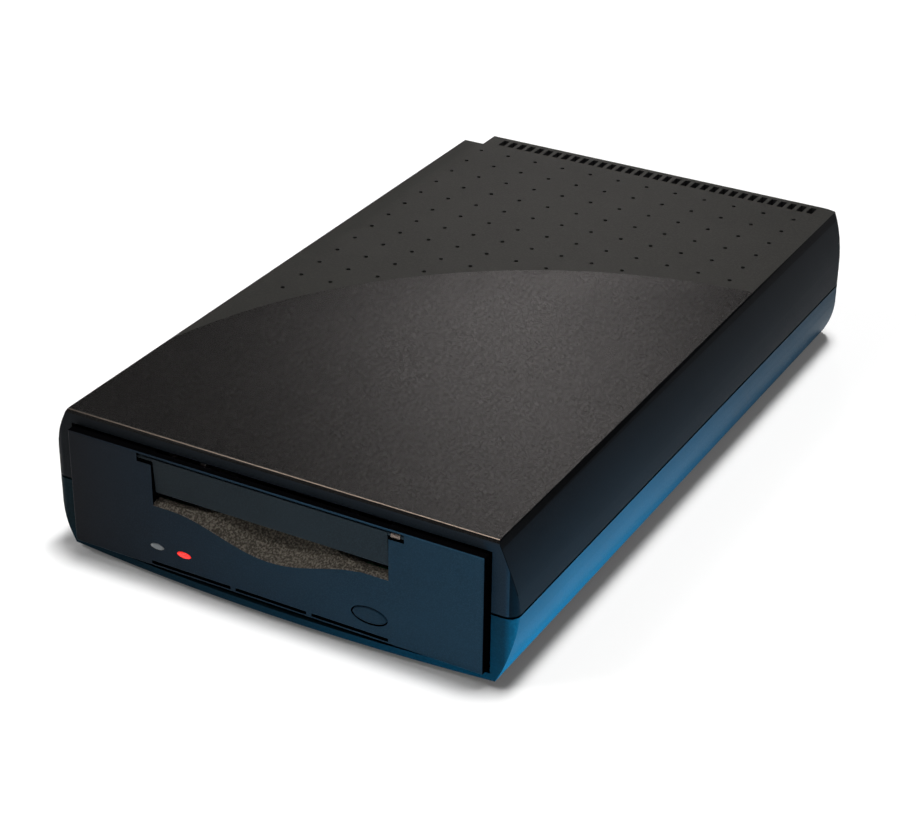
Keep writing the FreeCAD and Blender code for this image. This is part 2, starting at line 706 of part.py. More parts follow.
def cassette_holder():
    outer = holder_half + holder_sheet
    body = box(-outer, outer, holder_front, holder_rear, holder_low - holder_sheet, holder_high + holder_sheet)
    body = body.cut(box(-holder_half, holder_half, holder_front - 1, holder_rear + 1, holder_low, holder_high))
    ledge = holder_half - 8.0
    body = body.cut(box(-ledge, ledge, holder_front - 1, holder_rear + 1, holder_low - 2, holder_low + 1))
    stop = both_sides(box(holder_half - 7, holder_half + 0.4, holder_rear - holder_sheet, holder_rear,
                          holder_low - 0.4, holder_high + 0.4))
    pins = []
    for y in holder_pin_y:
        pins += both_sides(rod_x(y, holder_pin_z, holder_half + 0.2, guide_x + guide_sheet + 0.8, 1.2))
    return join(body, *stop, *pins)


def holder_guides():
    """Two slotted uprights on the deck that the holder's pins run in."""
    plate = box(guide_x, guide_x + guide_sheet, holder_front + 4, holder_rear - 4, deck_top, holder_high - 1)
    foot = box(guide_x, guide_x + 5.0, holder_front + 4, holder_rear - 4, deck_top, deck_top + guide_sheet)
    plate = join(plate, foot)
    for y in holder_pin_y:
        low = holder_pin_z - holder_drop
        slot = box(guide_x - 1, guide_x + guide_sheet + 1, y - 1.4, y + 1.4, low, holder_pin_z)
        ends = [rod_x(y, z, guide_x - 1, guide_x + guide_sheet + 1, 1.4) for z in (low, holder_pin_z)]
        plate = plate.cut([slot] + ends)
    return both_sides(plate)


reel_z = deck_top + 2.0


def reel_table(x):
    flange = rod(x, reel_y, reel_z, reel_z + 1.5, reel_radius)
    hub = rod(x, reel_y, reel_z, reel_z + 3.0, 4.5)
    spindle = rod(x, reel_y, reel_z, reel_z + 9.5, 2.2)
    table = [flange, hub, spindle]
    for i in range(3):
        fin = box(x, x + 3.2, reel_y - 0.5, reel_y + 0.5, reel_z + 2, reel_z + 8.0)
        fin.rotate(Vector(x, reel_y, 0), Vector(0, 0, 1), 120 * i)
        table.append(fin)
    table.append(rod(x, reel_y, motor_top + 0.2, reel_z + 0.5, 1.5))
    return join(*table)


motor_bottom = controller_z + board_thickness + 0.9
motor_top = deck_z


def pancake_motor(x, y, radius, bore):
    return tube(x, y, motor_bottom, motor_top, radius, bore)


def reel_motors():
    return [join(pancake_motor(s * reel_spacing / 2, reel_y, 9.0, 1.5 + running_gap),
                 rod(s * reel_spacing / 2, reel_y, motor_bottom - 0.8, motor_bottom + 0.2, 5.0)) for s in (-1, 1)]


def capstan():
    shaft = rod(capstan_x, capstan_y, motor_bottom + 0.4, deck_top + 17.0, capstan_radius)
    disc = rod(capstan_x, capstan_y, deck_top + 0.3, deck_top + 1.2, 3.5)
    return join(shaft, disc)


def tilt_drum(shape):
    base = Vector(0, drum_y, deck_top + 5.0)
    shape.rotate(base, Vector(1, 0, 0), -drum_tilt)
    return shape


def drum_base():
    """Fixed lower drum on its column, with the shaft that the upper drum turns on."""
    low = deck_top + 5.0
    column = rod(0, drum_y, deck_top, low + 1.5, drum_radius - 2.0)
    lower = tilt_drum(rod(0, drum_y, low, low + 8.3, drum_radius))
    shaft = tilt_drum(rod(0, drum_y, low, low + 21.0, 1.5))
    return join(column, lower, shaft)


def drum_upper():
    low = deck_top + 5.0 + 8.3 + drum_gap
    body = rod(0, drum_y, low, low + 10.0, drum_radius)
    hub = rod(0, drum_y, low + 9.8, low + 11.8, 6.0)
    drum = join(body, hub)
    slots = []
    for i in range(4):
        notch = box(drum_radius - 1.6, drum_radius + 1, drum_y - 1.2, drum_y + 1.2, low - 1, low + 2.0)
        notch.rotate(Vector(0, drum_y, 0), Vector(0, 0, 1), 45 + 90 * i)
        slots.append(notch)
    slots.append(rod(0, drum_y, low - 1, low + 13, 1.5 + running_gap))
    return tilt_drum(drum.cut(slots))


pinch_z = arm_z + arm_thickness + 0.6
pinch_reach = pinch_pivot_x - capstan_x - capstan_radius - pinch_radius


def pinch_place():
    angle = math.radians(180 - pinch_rest_angle)
    return (pinch_pivot_x + pinch_reach * math.cos(angle), capstan_y + pinch_reach * math.sin(angle))


def link(x0, y0, x1, y1, z0, z1, radius):
    """Flat bar with round ends between two upright axes."""
    length = math.hypot(x1 - x0, y1 - y0)
    bar = box(0, length, -radius, radius, z0, z1)
    bar.rotate(Vector(0, 0, 0), Vector(0, 0, 1), math.degrees(math.atan2(y1 - y0, x1 - x0)))
    bar.translate(Vector(x0, y0, 0))
    return join(bar, rod(x0, y0, z0, z1, radius), rod(x1, y1, z0, z1, radius))


def pinch_arm():
    x, y = pinch_place()
    arm = link(pinch_pivot_x, capstan_y, x, y, pinch_z, pinch_z + 1.5, 2.8)
    arm = join(arm, rod(x, y, pinch_z, pinch_z + 13.0, 1.2))
    return arm.cut(rod(pinch_pivot_x, capstan_y, pinch_z - 1, pinch_z + 3, 1.5 + running_gap))


def pinch_roller():
    x, y = pinch_place()
    return tube(x, y, pinch_z + 2.0, pinch_z + 12.0, pinch_radius, 1.2 + running_gap)


def loading_slider():
    """Flat slider round the drum: racks on its legs turn the guide arms."""
    bar_front = drum_y + drum_radius - 2.0 + 0.5
    bar_rear = bar_front + 5.0
    leg = box(rack_x - 6.0, rack_x - 1.0, arm_pivot_y - 11.0, bar_rear, slider_z, slider_z + slider_thickness)
    pitch = math.pi * gear_module
    leg_teeth = rack_teeth(rack_x, arm_pivot_y - 3.5 * pitch, 5, 1, slider_z, slider_z + slider_thickness)
    right = join(leg, *leg_teeth)
    bar = box(-rack_x + 2, rack_x - 2, bar_front, bar_rear, slider_z, slider_z + slider_thickness)
    tail = box(rear_rack_x - 5.0, rear_rack_x - 1.0, bar_rear - 1, loading_y + 2.5, slider_z,
               slider_z + slider_thickness)
    tail_teeth = rack_teeth(rear_rack_x, loading_y - 3.5 * pitch, 5, 1, slider_z, slider_z + slider_thickness)
    return join(bar, tail, *tail_teeth, *both_sides(right))


def loading_gear():
    return gear(loading_x, loading_y, slider_z, slider_z + 3.6, loading_teeth,
                phase=180.0, bore=1.5 + running_gap)


def loading_pinion():
    x = loading_x + loading_radius + pinion_radius
    step = 180.0 / pinion_teeth
    wheel = gear(x, loading_y, slider_z, slider_z + 3.2, pinion_teeth, phase=180.0 + step * pinion_phase())
    return join(wheel, rod(x, loading_y, motor_bottom + 0.4, slider_z + 4.0, 1.0))


def pinion_phase():
    """Half a tooth pitch if a gear tooth points at the pinion, none if a gap does."""
    return 0.0 if loading_teeth % 2 else 1.0


def loading_motor():
    x = loading_x + loading_radius + pinion_radius
    return pancake_motor(x, loading_y, 8.0, 1.0 + running_gap)


def guide_arm(side):
    angle = math.radians(arm_rest_angle)
    x = arm_pivot_x + arm_length * math.cos(angle)
    y = arm_pivot_y + arm_length * math.sin(angle)
    hub = rod(arm_pivot_x, arm_pivot_y, slider_z, arm_z + arm_thickness, 3.2)
    arm = link(arm_pivot_x, arm_pivot_y, x, y, arm_z, arm_z + arm_thickness, 2.6)
    sector = gear(arm_pivot_x, arm_pivot_y, slider_z, slider_z + slider_thickness, sector_teeth,
                  phase=180.0, first=-1, last=5)
    arm = join(arm, hub, sector)
    arm = arm.cut(rod(arm_pivot_x, arm_pivot_y, slider_z - 1, arm_z + 3, 1.5 + running_gap))
    return arm if side > 0 else mirror_x(arm)


def guide_post(side):
    angle = math.radians(arm_rest_angle)
    x = arm_pivot_x + arm_length * math.cos(angle)
    y = arm_pivot_y + arm_length * math.sin(angle)
    low = arm_z + arm_thickness
    post = join(rod(x, y, low, low + 12.0, 1.6), rod(x, y, low, low + 1.2, 2.4), rod(x, y, low + 10.8, low + 12.0, 2.4))
    return post if side > 0 else mirror_x(post)


# ---------------------------------------------------------------- rear panel, fan, sockets
def rear_panel():
    half = rear_opening_width / 2 + panel_overlap
    low = port_z - rear_opening_height / 2 - panel_overlap
    high = port_z + rear_opening_height / 2 + panel_overlap
    plate = box(-half, half, panel_front, panel_rear, low, high)
    lining = -case_width / 2 + notch_width + wall + seat_gap
    cuts = [box(-case_width, lining, panel_front - 1, panel_rear + 1,
                case_top - notch_depth - wall - seat_gap, case_top + 1),
            box(inlet_x - inlet_width / 2, inlet_x + inlet_width / 2, panel_front - 1, panel_rear + 1,
                port_z - inlet_height / 2, port_z + inlet_height / 2),
            box(switch_x - switch_width / 2, switch_x + switch_width / 2, panel_front - 1, panel_rear + 1,
                port_z - switch_height / 2, port_z + switch_height / 2),
            box(usb_x - usb_width / 2 - fit_gap, usb_x + usb_width / 2 + fit_gap, panel_front - 1, panel_rear + 1,
                board_z + board_thickness, board_z + board_thickness + usb_height + fit_gap)]
    bars = 9
    for i in range(bars):
        offset = (i - (bars - 1) / 2) * 4.0
        reach = math.sqrt((fan_bore_radius - 0.8) ** 2 - offset ** 2) if abs(offset) < fan_bore_radius - 1 else 0
        cuts.append(box(fan_x + offset - 1.2, fan_x + offset + 1.2, panel_front - 1, panel_rear + 1,
                        port_z - reach, port_z + reach))
    for x in (fan_x - 16, fan_x + 16):
        for z in (port_z - 16, port_z + 16):
            cuts.append(rod_y(x, z, panel_front - 1, panel_rear + 1, 1.7))
    return plate.cut(cuts)


def fan_frame():
    half = fan_size / 2
    frame = rounded_plate(fan_x - half, fan_x + half, port_z - half, port_z + half, fan_front,
                          fan_front + fan_depth, 2.5)
    frame = frame.cut(rod_y(fan_x, port_z, fan_front - 1, fan_front + fan_depth + 1, fan_bore_radius))
    plate = rod_y(fan_x, port_z, fan_front, fan_front + 1.5, fan_hub_radius)
    struts = []
    for i in range(3):
        strut = box(fan_x + fan_hub_radius - 1, fan_x + fan_bore_radius + 0.6, fan_front, fan_front + 1.5,
                    port_z - 1.2, port_z + 1.2)
        strut.rotate(Vector(fan_x, 0, port_z), Vector(0, 1, 0), 30 + 120 * i)
        struts.append(strut)
    axle = rod_y(fan_x, port_z, fan_front, fan_front + 7.0, 1.5)
    frame = join(frame, plate, axle, *struts)
    holes = [rod_y(fan_x + sx * 16, port_z + sz * 16, fan_front - 1, fan_front + fan_depth + 1, 1.65)
             for sx in (-1, 1) for sz in (-1, 1)]
    return frame.cut(holes)


def fan_rotor():
    low = fan_front + 1.5 + 0.4
    high = fan_front + fan_depth - 0.6
    hub = rod_y(fan_x, port_z, low, high, fan_hub_radius)
    rotor = [hub]
    for i in range(fan_blades):
        blade = box(fan_x + fan_hub_radius - 0.6, fan_x + fan_bore_radius - 0.7, -0.5, 0.5, port_z - 4.4, port_z + 4.4)
        blade.rotate(Vector(fan_x, 0, port_z), Vector(1, 0, 0), 52)
        blade.translate(Vector(0, (low + high) / 2, 0))
        blade.rotate(Vector(fan_x, 0, port_z), Vector(0, 1, 0), 360.0 / fan_blades * i)
        rotor.append(blade)
    space = rod_y(fan_x, port_z, low, high, fan_bore_radius - 0.6)
    rotor = join(*rotor).common(space)
    return rotor.cut(rod_y(fan_x, port_z, low - 1, fan_front + 7.4, 1.5 + running_gap))


def fan_screws():
    screws = []
    for sx in (-1, 1):
        for sz in (-1, 1):
            x = fan_x + sx * 16
            z = port_z + sz * 16
            head = rod_y(x, z, panel_rear, panel_rear + 1.6, screw_head_radius)
            shank = turn_to(prism(0, 0, 0, panel_rear - fan_front - 2, screw_radius), x, panel_rear, z,
                            Vector(1, 0, 0), 90)
            screws.append(join(head, shank))
    return screws


def power_inlet():
    """Three-pole mains inlet with its flange on the panel."""
    flange = rounded_plate(inlet_x - 15.5, inlet_x + 15.5, port_z - 12, port_z + 12, panel_rear,
                           panel_rear + socket_flange, 2.0)
    half = inlet_width / 2 - fit_gap
    body = box(inlet_x - half, inlet_x + half, panel_rear - inlet_depth, panel_rear + 0.2,
               port_z - inlet_height / 2 + fit_gap, port_z + inlet_height / 2 - fit_gap)
    mouth = [(inlet_x - 12.2, 0, port_z - 8.1), (inlet_x + 12.2, 0, port_z - 8.1),
             (inlet_x + 12.2, 0, port_z + 4.0), (inlet_x + 8.2, 0, port_z + 8.1),
             (inlet_x - 8.2, 0, port_z + 8.1), (inlet_x - 12.2, 0, port_z + 4.0)]
    cavity = polygon([(x, panel_rear - inlet_depth + 2.5, z) for x, _, z in mouth], Vector(0, 30, 0))
    return join(flange, body).cut(cavity)


def inlet_pins():
    back = panel_rear - inlet_depth + 2.5
    places = [(inlet_x - 7, port_z - 1.6), (inlet_x, port_z + 2.4), (inlet_x + 7, port_z - 1.6)]
    return [box(x - 1.0, x + 1.0, back, back + 13.0, z - 2.0, z + 2.0) for x, z in places]


def switch_frame():
    flange = rounded_plate(switch_x - 10.5, switch_x + 10.5, port_z - 7.5, port_z + 7.5, panel_rear,
                           panel_rear + 1.4, 1.0)
    half_x = switch_width / 2 - fit_gap
    half_z = switch_height / 2 - fit_gap
    body = box(switch_x - half_x, switch_x + half_x, panel_rear - 13, panel_rear + 0.2, port_z - half_z, port_z + half_z)
    body = join(flange, body)
    well = box(switch_x - half_x + 1.2, switch_x + half_x - 1.2, panel_rear - 8, panel_rear + 3,
               port_z - half_z + 1.2, port_z + half_z - 1.2)
    pin = Part.makeCylinder(1.0, 2 * half_z, Vector(switch_x, panel_rear - 3.0, port_z - half_z), Vector(0, 0, 1))
    return join(body.cut(well), pin)


def power_rocker():
    """Rocker of the power switch, pressed in at its left end."""
    half_x = switch_width / 2 - fit_gap - 1.2 - 0.7
    half_z = switch_height / 2 - fit_gap - 1.2 - 0.3
    pivot = Vector(switch_x, panel_rear - 3.0, port_z)
    low = port_z - half_z
    outer = panel_rear + 1.2
    outline = [line(Vector(switch_x - half_x, panel_rear - 3.4, low), Vector(switch_x + half_x, panel_rear - 3.4, low)),
               line(Vector(switch_x + half_x, panel_rear - 3.4, low), Vector(switch_x + half_x, outer, low)),
               arc(Vector(switch_x + half_x, outer, low), Vector(switch_x, outer - 1.4, low),
                   Vector(switch_x - half_x, outer, low)),
               line(Vector(switch_x - half_x, outer, low), Vector(switch_x - half_x, panel_rear - 3.4, low))]
    rocker = slab(outline, Vector(0, 0, 2 * half_z))
    rocker = join(rocker, Part.makeCylinder(2.2, 2 * half_z, Vector(switch_x, panel_rear - 3.0, low), Vector(0, 0, 1)))
    rocker = rocker.cut(Part.makeCylinder(1.0 + running_gap, 2 * half_z + 2,
                                          Vector(switch_x, panel_rear - 3.0, low - 1), Vector(0, 0, 1)))
    rocker.rotate(pivot, Vector(0, 0, 1), rocker_tilt)
    return rocker


def usb_socket():
    low = board_z + board_thickness
    shell = box(usb_x - usb_width / 2, usb_x + usb_width / 2, panel_rear - usb_depth, panel_rear + 0.4, low, low + usb_height)
    mouth = box(usb_x - usb_width / 2 + 1.6, usb_x + usb_width / 2 - 1.6, panel_rear - usb_depth + 3, panel_rear + 2,
                low + 1.6, low + usb_height - 1.6)
    tongue_bar = box(usb_x - 2.8, usb_x + 2.8, panel_rear - usb_depth + 2.9, panel_rear - 1.5,
                     low + usb_height / 2 - 1.6, low + usb_height / 2 + 1.6)
    return join(shell.cut(mouth), tongue_bar)


# ---------------------------------------------------------------- boards and power supply
def power_board():
    x0, x1, y0, y1 = power_board_box
    return box(x0, x1, y0, y1, board_z, board_z + board_thickness)


def on_board(rectangle, x_shares, y_shares, height):
    """Block on a board; its sides are shares of the board's width and length."""
    x0, x1, y0, y1 = rectangle
    top = board_z + board_thickness
    xs = [x0 + share * (x1 - x0) for share in x_shares]
    ys = [y0 + share * (y1 - y0) for share in y_shares]
    return box(xs[0], xs[1], ys[0], ys[1], top, top + height)


def transformer():
    core = on_board(power_board_box, (0.13, 0.61), (0.34, 0.66), transformer_height)
    winding = on_board(power_board_box, (0.19, 0.55), (0.29, 0.71), winding_height)
    return join(core, winding)


def capacitors():
    x0, x1, y0, y1 = power_board_box
    top = board_z + board_thickness
    places = ((0.77, 0.81), (0.42, 0.86), (0.19, 0.15))
    return [prism(x0 + place[0] * (x1 - x0), y0 + place[1] * (y1 - y0), top, top + size[1], size[0], 16)
            for place, size in zip(places, capacitor_sizes)]


def heat_sink():
    along = (0.07, 0.63)
    base = on_board(power_board_box, (0.74, 0.94), along, 3.0)
    fins = [on_board(power_board_box, (0.74 + 0.045 * i, 0.76 + 0.045 * i), along, sink_height) for i in range(5)]
    return join(base, *fins)


def interface_board():
    x0, x1, y0, y1 = interface_board_box
    board = box(x0, x1, y0, y1, board_z, board_z + board_thickness)
    far = panel_front - 3.65
    arm = join(box(x1 - 0.5, usb_x - 3.0, y1 - 20, far, board_z, board_z + board_thickness),
               box(usb_x - 3.1, usb_x + 7.0, power_board_box[3] + 2, far, board_z, board_z + board_thickness))
    chips = [on_board(interface_board_box, (0.28, 0.56), (0.36, 0.61), 1.6),
             on_board(interface_board_box, (0.69, 0.84), (0.28, 0.5), 1.6),
             on_board(interface_board_box, (0.15, 0.9), (0.035, 0.14), header_height)]
    return join(board, arm, *chips)


def drive_connector():
    x0 = interface_board_box[0] + 30
    return box(x0, x0 + 46, drive_rear, drive_rear + 7, deck_z + 4, deck_z + 12)


def power_connector():
    x0 = power_board_box[0] + 10
    return box(x0, x0 + 22, drive_rear, drive_rear + 8, deck_z + 4, deck_z + 11)


def data_ribbon():
    """Flat cable from the drive's connector down to the header on the interface board."""
    x0 = interface_board_box[0] + 32
    width = 26.0
    start = drive_rear + 7
    end = interface_board_box[2] + 0.035 * (interface_board_box[3] - interface_board_box[2])
    high = deck_z + 8.6
    low = board_z + board_thickness + 4.0
    middle = (start + end) / 2
    outline = [(x0, start, high), (x0, middle - 1, high), (x0, middle + 1, low), (x0, end, low),
               (x0, end, low - 0.8), (x0, middle + 0.6, low - 0.8), (x0, middle - 1.4, high - 0.8),
               (x0, start, high - 0.8)]
    return polygon(outline, Vector(width, 0, 0))


def power_lead():
    """Flat bundle of wires from the drive's power connector to the power board."""
    x0 = power_board_box[0] + 18
    half = 1.6
    start = drive_rear + 8
    high = deck_z + 7.5
    end = power_board_box[2] + 4
    top = board_z + board_thickness
    bend = 3.5
    outline = [(x0, start, high - half), (x0, end - half - bend, high - half), (x0, end - half, high - half - bend),
               (x0, end - half, top), (x0, end + half, top), (x0, end + half, high + half - bend),
               (x0, end + half - bend, high + half), (x0, start, high + half)]
    return polygon(outline, Vector(6.0, 0, 0))


# ---------------------------------------------------------------- output
NODES = {
    "top_shell": top_shell, "bottom_shell": bottom_shell, "rubber_feet": rubber_feet,
    "case_screws": case_screws, "front_bezel": front_bezel, "door_flap": door_flap,
    "door_spring": door_spring, "eject_button": eject_button, "switch_plunger": switch_plunger,
    "eject_switch": eject_switch, "led_window_clear": lambda: led_window(led_x),
    "led_window_red": lambda: led_window(led_x + led_spread), "front_board": front_board,
    "drive_chassis": drive_chassis, "drive_cover": drive_cover, "drive_brackets": drive_brackets,
    "drive_screws": drive_screws, "controller_board": controller_board,
    "cassette_holder": cassette_holder, "holder_guides": holder_guides,
    "reel_table_supply": lambda: reel_table(-reel_spacing / 2),
    "reel_table_takeup": lambda: reel_table(reel_spacing / 2), "reel_motors": reel_motors,
    "capstan": capstan, "capstan_motor": lambda: pancake_motor(capstan_x, capstan_y, 12.0, capstan_radius + running_gap),
    "drum_base": drum_base, "drum_upper": drum_upper, "pinch_arm": pinch_arm,
    "pinch_roller": pinch_roller, "loading_slider": loading_slider, "loading_gear": loading_gear,
    "loading_pinion": loading_pinion, "loading_motor": loading_motor,
    "guide_arm_left": lambda: guide_arm(-1), "guide_arm_right": lambda: guide_arm(1),
    "guide_post_left": lambda: guide_post(-1), "guide_post_right": lambda: guide_post(1),
    "rear_panel": rear_panel, "fan_frame": fan_frame, "fan_rotor": fan_rotor, "fan_screws": fan_screws,
    "power_inlet": power_inlet, "inlet_pins": inlet_pins, "switch_frame": switch_frame,
    "power_rocker": power_rocker, "usb_socket": usb_socket, "power_board": power_board,
    "transformer": transformer, "capacitors": capacitors, "heat_sink": heat_sink,
    "interface_board": interface_board, "drive_connector": drive_connector,
    "power_connector": power_connector, "data_ribbon": data_ribbon, "power_lead": power_lead,
}


def main():
    os.makedirs("parts", exist_ok=True)
    for name, build in NODES.items():
        made = build()
        shape = Part.makeCompound(made) if isinstance(made, list) else made
        shape.exportStep("parts/" + name + ".step")
        print(name, len(shape.Solids), round(shape.Volume, 1), shape.isValid())


main()
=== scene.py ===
"""Looks of a desktop data tape drive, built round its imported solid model."""
import json
import math

import bmesh
import bpy
from mathutils import Matrix, Vector

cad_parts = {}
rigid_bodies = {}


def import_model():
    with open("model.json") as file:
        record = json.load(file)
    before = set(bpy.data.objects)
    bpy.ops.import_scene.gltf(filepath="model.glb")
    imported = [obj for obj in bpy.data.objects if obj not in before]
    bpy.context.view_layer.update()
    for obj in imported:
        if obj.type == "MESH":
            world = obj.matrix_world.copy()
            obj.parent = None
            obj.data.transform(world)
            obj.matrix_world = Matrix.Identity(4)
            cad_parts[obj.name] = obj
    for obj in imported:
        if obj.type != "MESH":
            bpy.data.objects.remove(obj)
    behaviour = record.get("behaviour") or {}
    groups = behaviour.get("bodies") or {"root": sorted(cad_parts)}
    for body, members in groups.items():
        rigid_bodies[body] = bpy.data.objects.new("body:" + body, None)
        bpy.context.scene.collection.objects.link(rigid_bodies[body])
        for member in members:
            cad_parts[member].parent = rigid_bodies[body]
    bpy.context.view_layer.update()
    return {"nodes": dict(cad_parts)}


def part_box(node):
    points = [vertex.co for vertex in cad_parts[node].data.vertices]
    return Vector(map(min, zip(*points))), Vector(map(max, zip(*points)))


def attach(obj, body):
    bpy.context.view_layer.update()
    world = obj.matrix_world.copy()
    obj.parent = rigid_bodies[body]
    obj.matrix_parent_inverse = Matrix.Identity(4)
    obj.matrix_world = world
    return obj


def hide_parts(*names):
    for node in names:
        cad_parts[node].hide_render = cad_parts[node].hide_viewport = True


bl_info = {
    "name": "Data Tape Drive Looks",
    "version": (1, 0, 0),
    "blender": (4, 5, 0),
    "location": "View3D > Sidebar > Tape Drive",
    "description": "Finishes the shells, front, screws, feet, mechanism and boards of a tape drive",
    "category": "Object",
}

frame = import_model()

MM = 0.001
CASE_LOW, CASE_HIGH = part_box("top_shell")
BEZEL_LOW, BEZEL_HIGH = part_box("front_bezel")
DOOR_LOW, DOOR_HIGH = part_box("door_flap")


# ---------------------------------------------------------------- sizes and colours
class CaseLooks(bpy.types.PropertyGroup):
    top_colour: bpy.props.FloatVectorProperty(
        name="Top", description="Grained plastic of the lid", subtype="COLOR", size=3,
        default=(0.0052, 0.0048, 0.0047), min=0, max=1)
    side_colour: bpy.props.FloatVectorProperty(
        name="Sides", description="Smoother plastic of the bowed sides", subtype="COLOR", size=3,
        default=(0.0038, 0.0045, 0.0057), min=0, max=1)
    base_colour: bpy.props.FloatVectorProperty(
        name="Base", description="Satin plastic of the bottom shell", subtype="COLOR", size=3,
        default=(0.0045, 0.0135, 0.0185), min=0, max=1)
    grain_size: bpy.props.FloatProperty(
        name="Grain", description="Size of one speck of the moulded grain", subtype="DISTANCE",
        default=0.4 * MM, min=0.1 * MM, max=5 * MM)
    rear_colour: bpy.props.FloatVectorProperty(
        name="Top rear", description="Smoother plastic of the lid behind its arc", subtype="COLOR", size=3,
        default=(0.0135, 0.0132, 0.0118), min=0, max=1)
    step: bpy.props.FloatProperty(
        name="Step", description="Height of the step along the lid's arc", subtype="DISTANCE",
        default=0.03 * MM, min=0.0, max=0.25 * MM)
    edge_radius: bpy.props.FloatProperty(
        name="Edge radius", description="Rounding of the shells' outer edges", subtype="DISTANCE",
        default=0.45 * MM, min=0.0, max=1 * MM)


class FrontLooks(bpy.types.PropertyGroup):
    # the colour of the bezel's right end, where painted light falls; its finish darkens it towards the left
    bezel_colour: bpy.props.FloatVectorProperty(
        name="Bezel", description="Blue-black plastic of the bezel and the eject button", subtype="COLOR",
        size=3, default=(0.0145, 0.047, 0.082), min=0, max=1)
    scoop_colour: bpy.props.FloatVectorProperty(
        name="Scoop", description="Rough floor of the finger scoop", subtype="COLOR", size=3,
        default=(0.088, 0.077, 0.062), min=0, max=1)
    lamp_colour: bpy.props.FloatVectorProperty(
        name="Lit lamp", description="Colour of the lit indicator", subtype="COLOR", size=3,
        default=(0.85, 0.02, 0.015), min=0, max=1)
    coil_wire: bpy.props.FloatProperty(
        name="Spring wire", description="Thickness of the door spring's wire", subtype="DISTANCE",
        default=0.34 * MM, min=0.1 * MM, max=1 * MM)
    coil_turns: bpy.props.IntProperty(
        name="Spring turns", description="Turns of the door spring", default=8, min=2, max=20)


class FastenerLooks(bpy.types.PropertyGroup):
    recess_width: bpy.props.FloatProperty(
        name="Recess", description="Width across the cross recess, as a share of the head", subtype="FACTOR",
        default=0.62, min=0.2, max=0.9)
    foot_rings: bpy.props.IntProperty(
        name="Foot rings", description="Rings moulded under each rubber foot", default=3, min=1, max=6)


class StageLooks(bpy.types.PropertyGroup):
    floor_size: bpy.props.FloatProperty(
        name="Floor", description="Side of the floor", subtype="DISTANCE", default=12.0, min=1.0)
    key_power: bpy.props.FloatProperty(
        name="Key light", description="Power of the high light overhead", default=84.0, min=0.0)
    back_power: bpy.props.FloatProperty(
        name="Back light", description="Power of the soft light behind, which shows in the lid's gloss",
        default=6.8, min=0.0)
    fill_power: bpy.props.FloatProperty(
        name="Front light", description="Power of the soft light over the front", default=3.4, min=0.0)
    ceiling_level: bpy.props.FloatProperty(
        name="Ceiling", description="Level of the dim ceiling", default=0.08, min=0.0, max=1.0)
    blue_power: bpy.props.FloatProperty(
        name="Blue light", description="Power of the low blue lights at the right", default=5.0, min=0.0)


# ---------------------------------------------------------------- shader node groups
def add_node(tree, kind, **values):
    """A node with its settings and inputs: in0 is the first input, Speck_size the one of that label.

    The value of an input may be a socket to link from.
    """
    node = tree.nodes.new(kind)
    for key, value in values.items():
        if key[0].isupper():
            socket = node.inputs[key.replace("_", " ")]
        elif key[2:].isdigit():
            socket = node.inputs[int(key[2:])]
        else:
            setattr(node, key, value)
            continue
        if isinstance(value, bpy.types.NodeSocket):
            tree.links.new(value, socket)
        else:
            socket.default_value = value
    return node


def maths(tree, operation, first, second):
    """The result of one sum on numbers or sockets."""
    return add_node(tree, "ShaderNodeMath", operation=operation, in0=first, in1=second).outputs[0]


def object_place(tree):
    """Coordinates that stay fixed to the object, in metres."""
    return tree.nodes.new("ShaderNodeTexCoord").outputs["Object"]


def noise(tree, place, size, detail, roughness=0.5):
    """Noise whose features have a given size, read from the place socket."""
    return add_node(tree, "ShaderNodeTexNoise", noise_dimensions="3D", Vector=place, Detail=detail,
                    Roughness=roughness, Scale=maths(tree, "DIVIDE", 1.0, size)).outputs[0]


def make_group(name, inputs, outputs):
    """An empty shader group with its group nodes and number sockets."""
    tree = bpy.data.node_groups.new(name, "ShaderNodeTree")
    for label, value in inputs:
        socket = tree.interface.new_socket(label, in_out="INPUT", socket_type="NodeSocketFloat")
        socket.default_value = value
    for label in outputs:
        tree.interface.new_socket(label, in_out="OUTPUT", socket_type="NodeSocketFloat")
    return tree, tree.nodes.new("NodeGroupInput"), tree.nodes.new("NodeGroupOutput")


def build_grain_group():
    """Moulded grain: height of the specks, and a slow cloudy tint."""
    tree, entry, leave = make_group("moulded grain", [("Speck size", 0.0006), ("Cloud size", 0.02)],
                                    ["Height", "Tint"])
    place = object_place(tree)
    fine = noise(tree, place, entry.outputs["Speck size"], detail=3.0, roughness=0.6)
    slow = noise(tree, place, entry.outputs["Cloud size"], detail=4.0)
    tree.links.new(fine, leave.inputs["Height"])
    tree.links.new(slow, leave.inputs["Tint"])
    return tree


def build_dust_group():
    """Thin dust: a mask on what faces up, broken into soft patches."""
    tree, entry, leave = make_group("settled dust", [("Patch size", 0.03), ("Amount", 0.3)], ["Mask"])
    patches = noise(tree, object_place(tree), entry.outputs["Patch size"], detail=6.0)
    geometry = add_node(tree, "ShaderNodeNewGeometry")
    facing = add_node(tree, "ShaderNodeSeparateXYZ", in0=geometry.outputs["Normal"])
    spread = maths(tree, "MULTIPLY", maths(tree, "MAXIMUM", facing.outputs["Z"], 0.0), patches)
    tree.links.new(maths(tree, "MULTIPLY", spread, entry.outputs["Amount"]), leave.inputs["Mask"])
    return tree


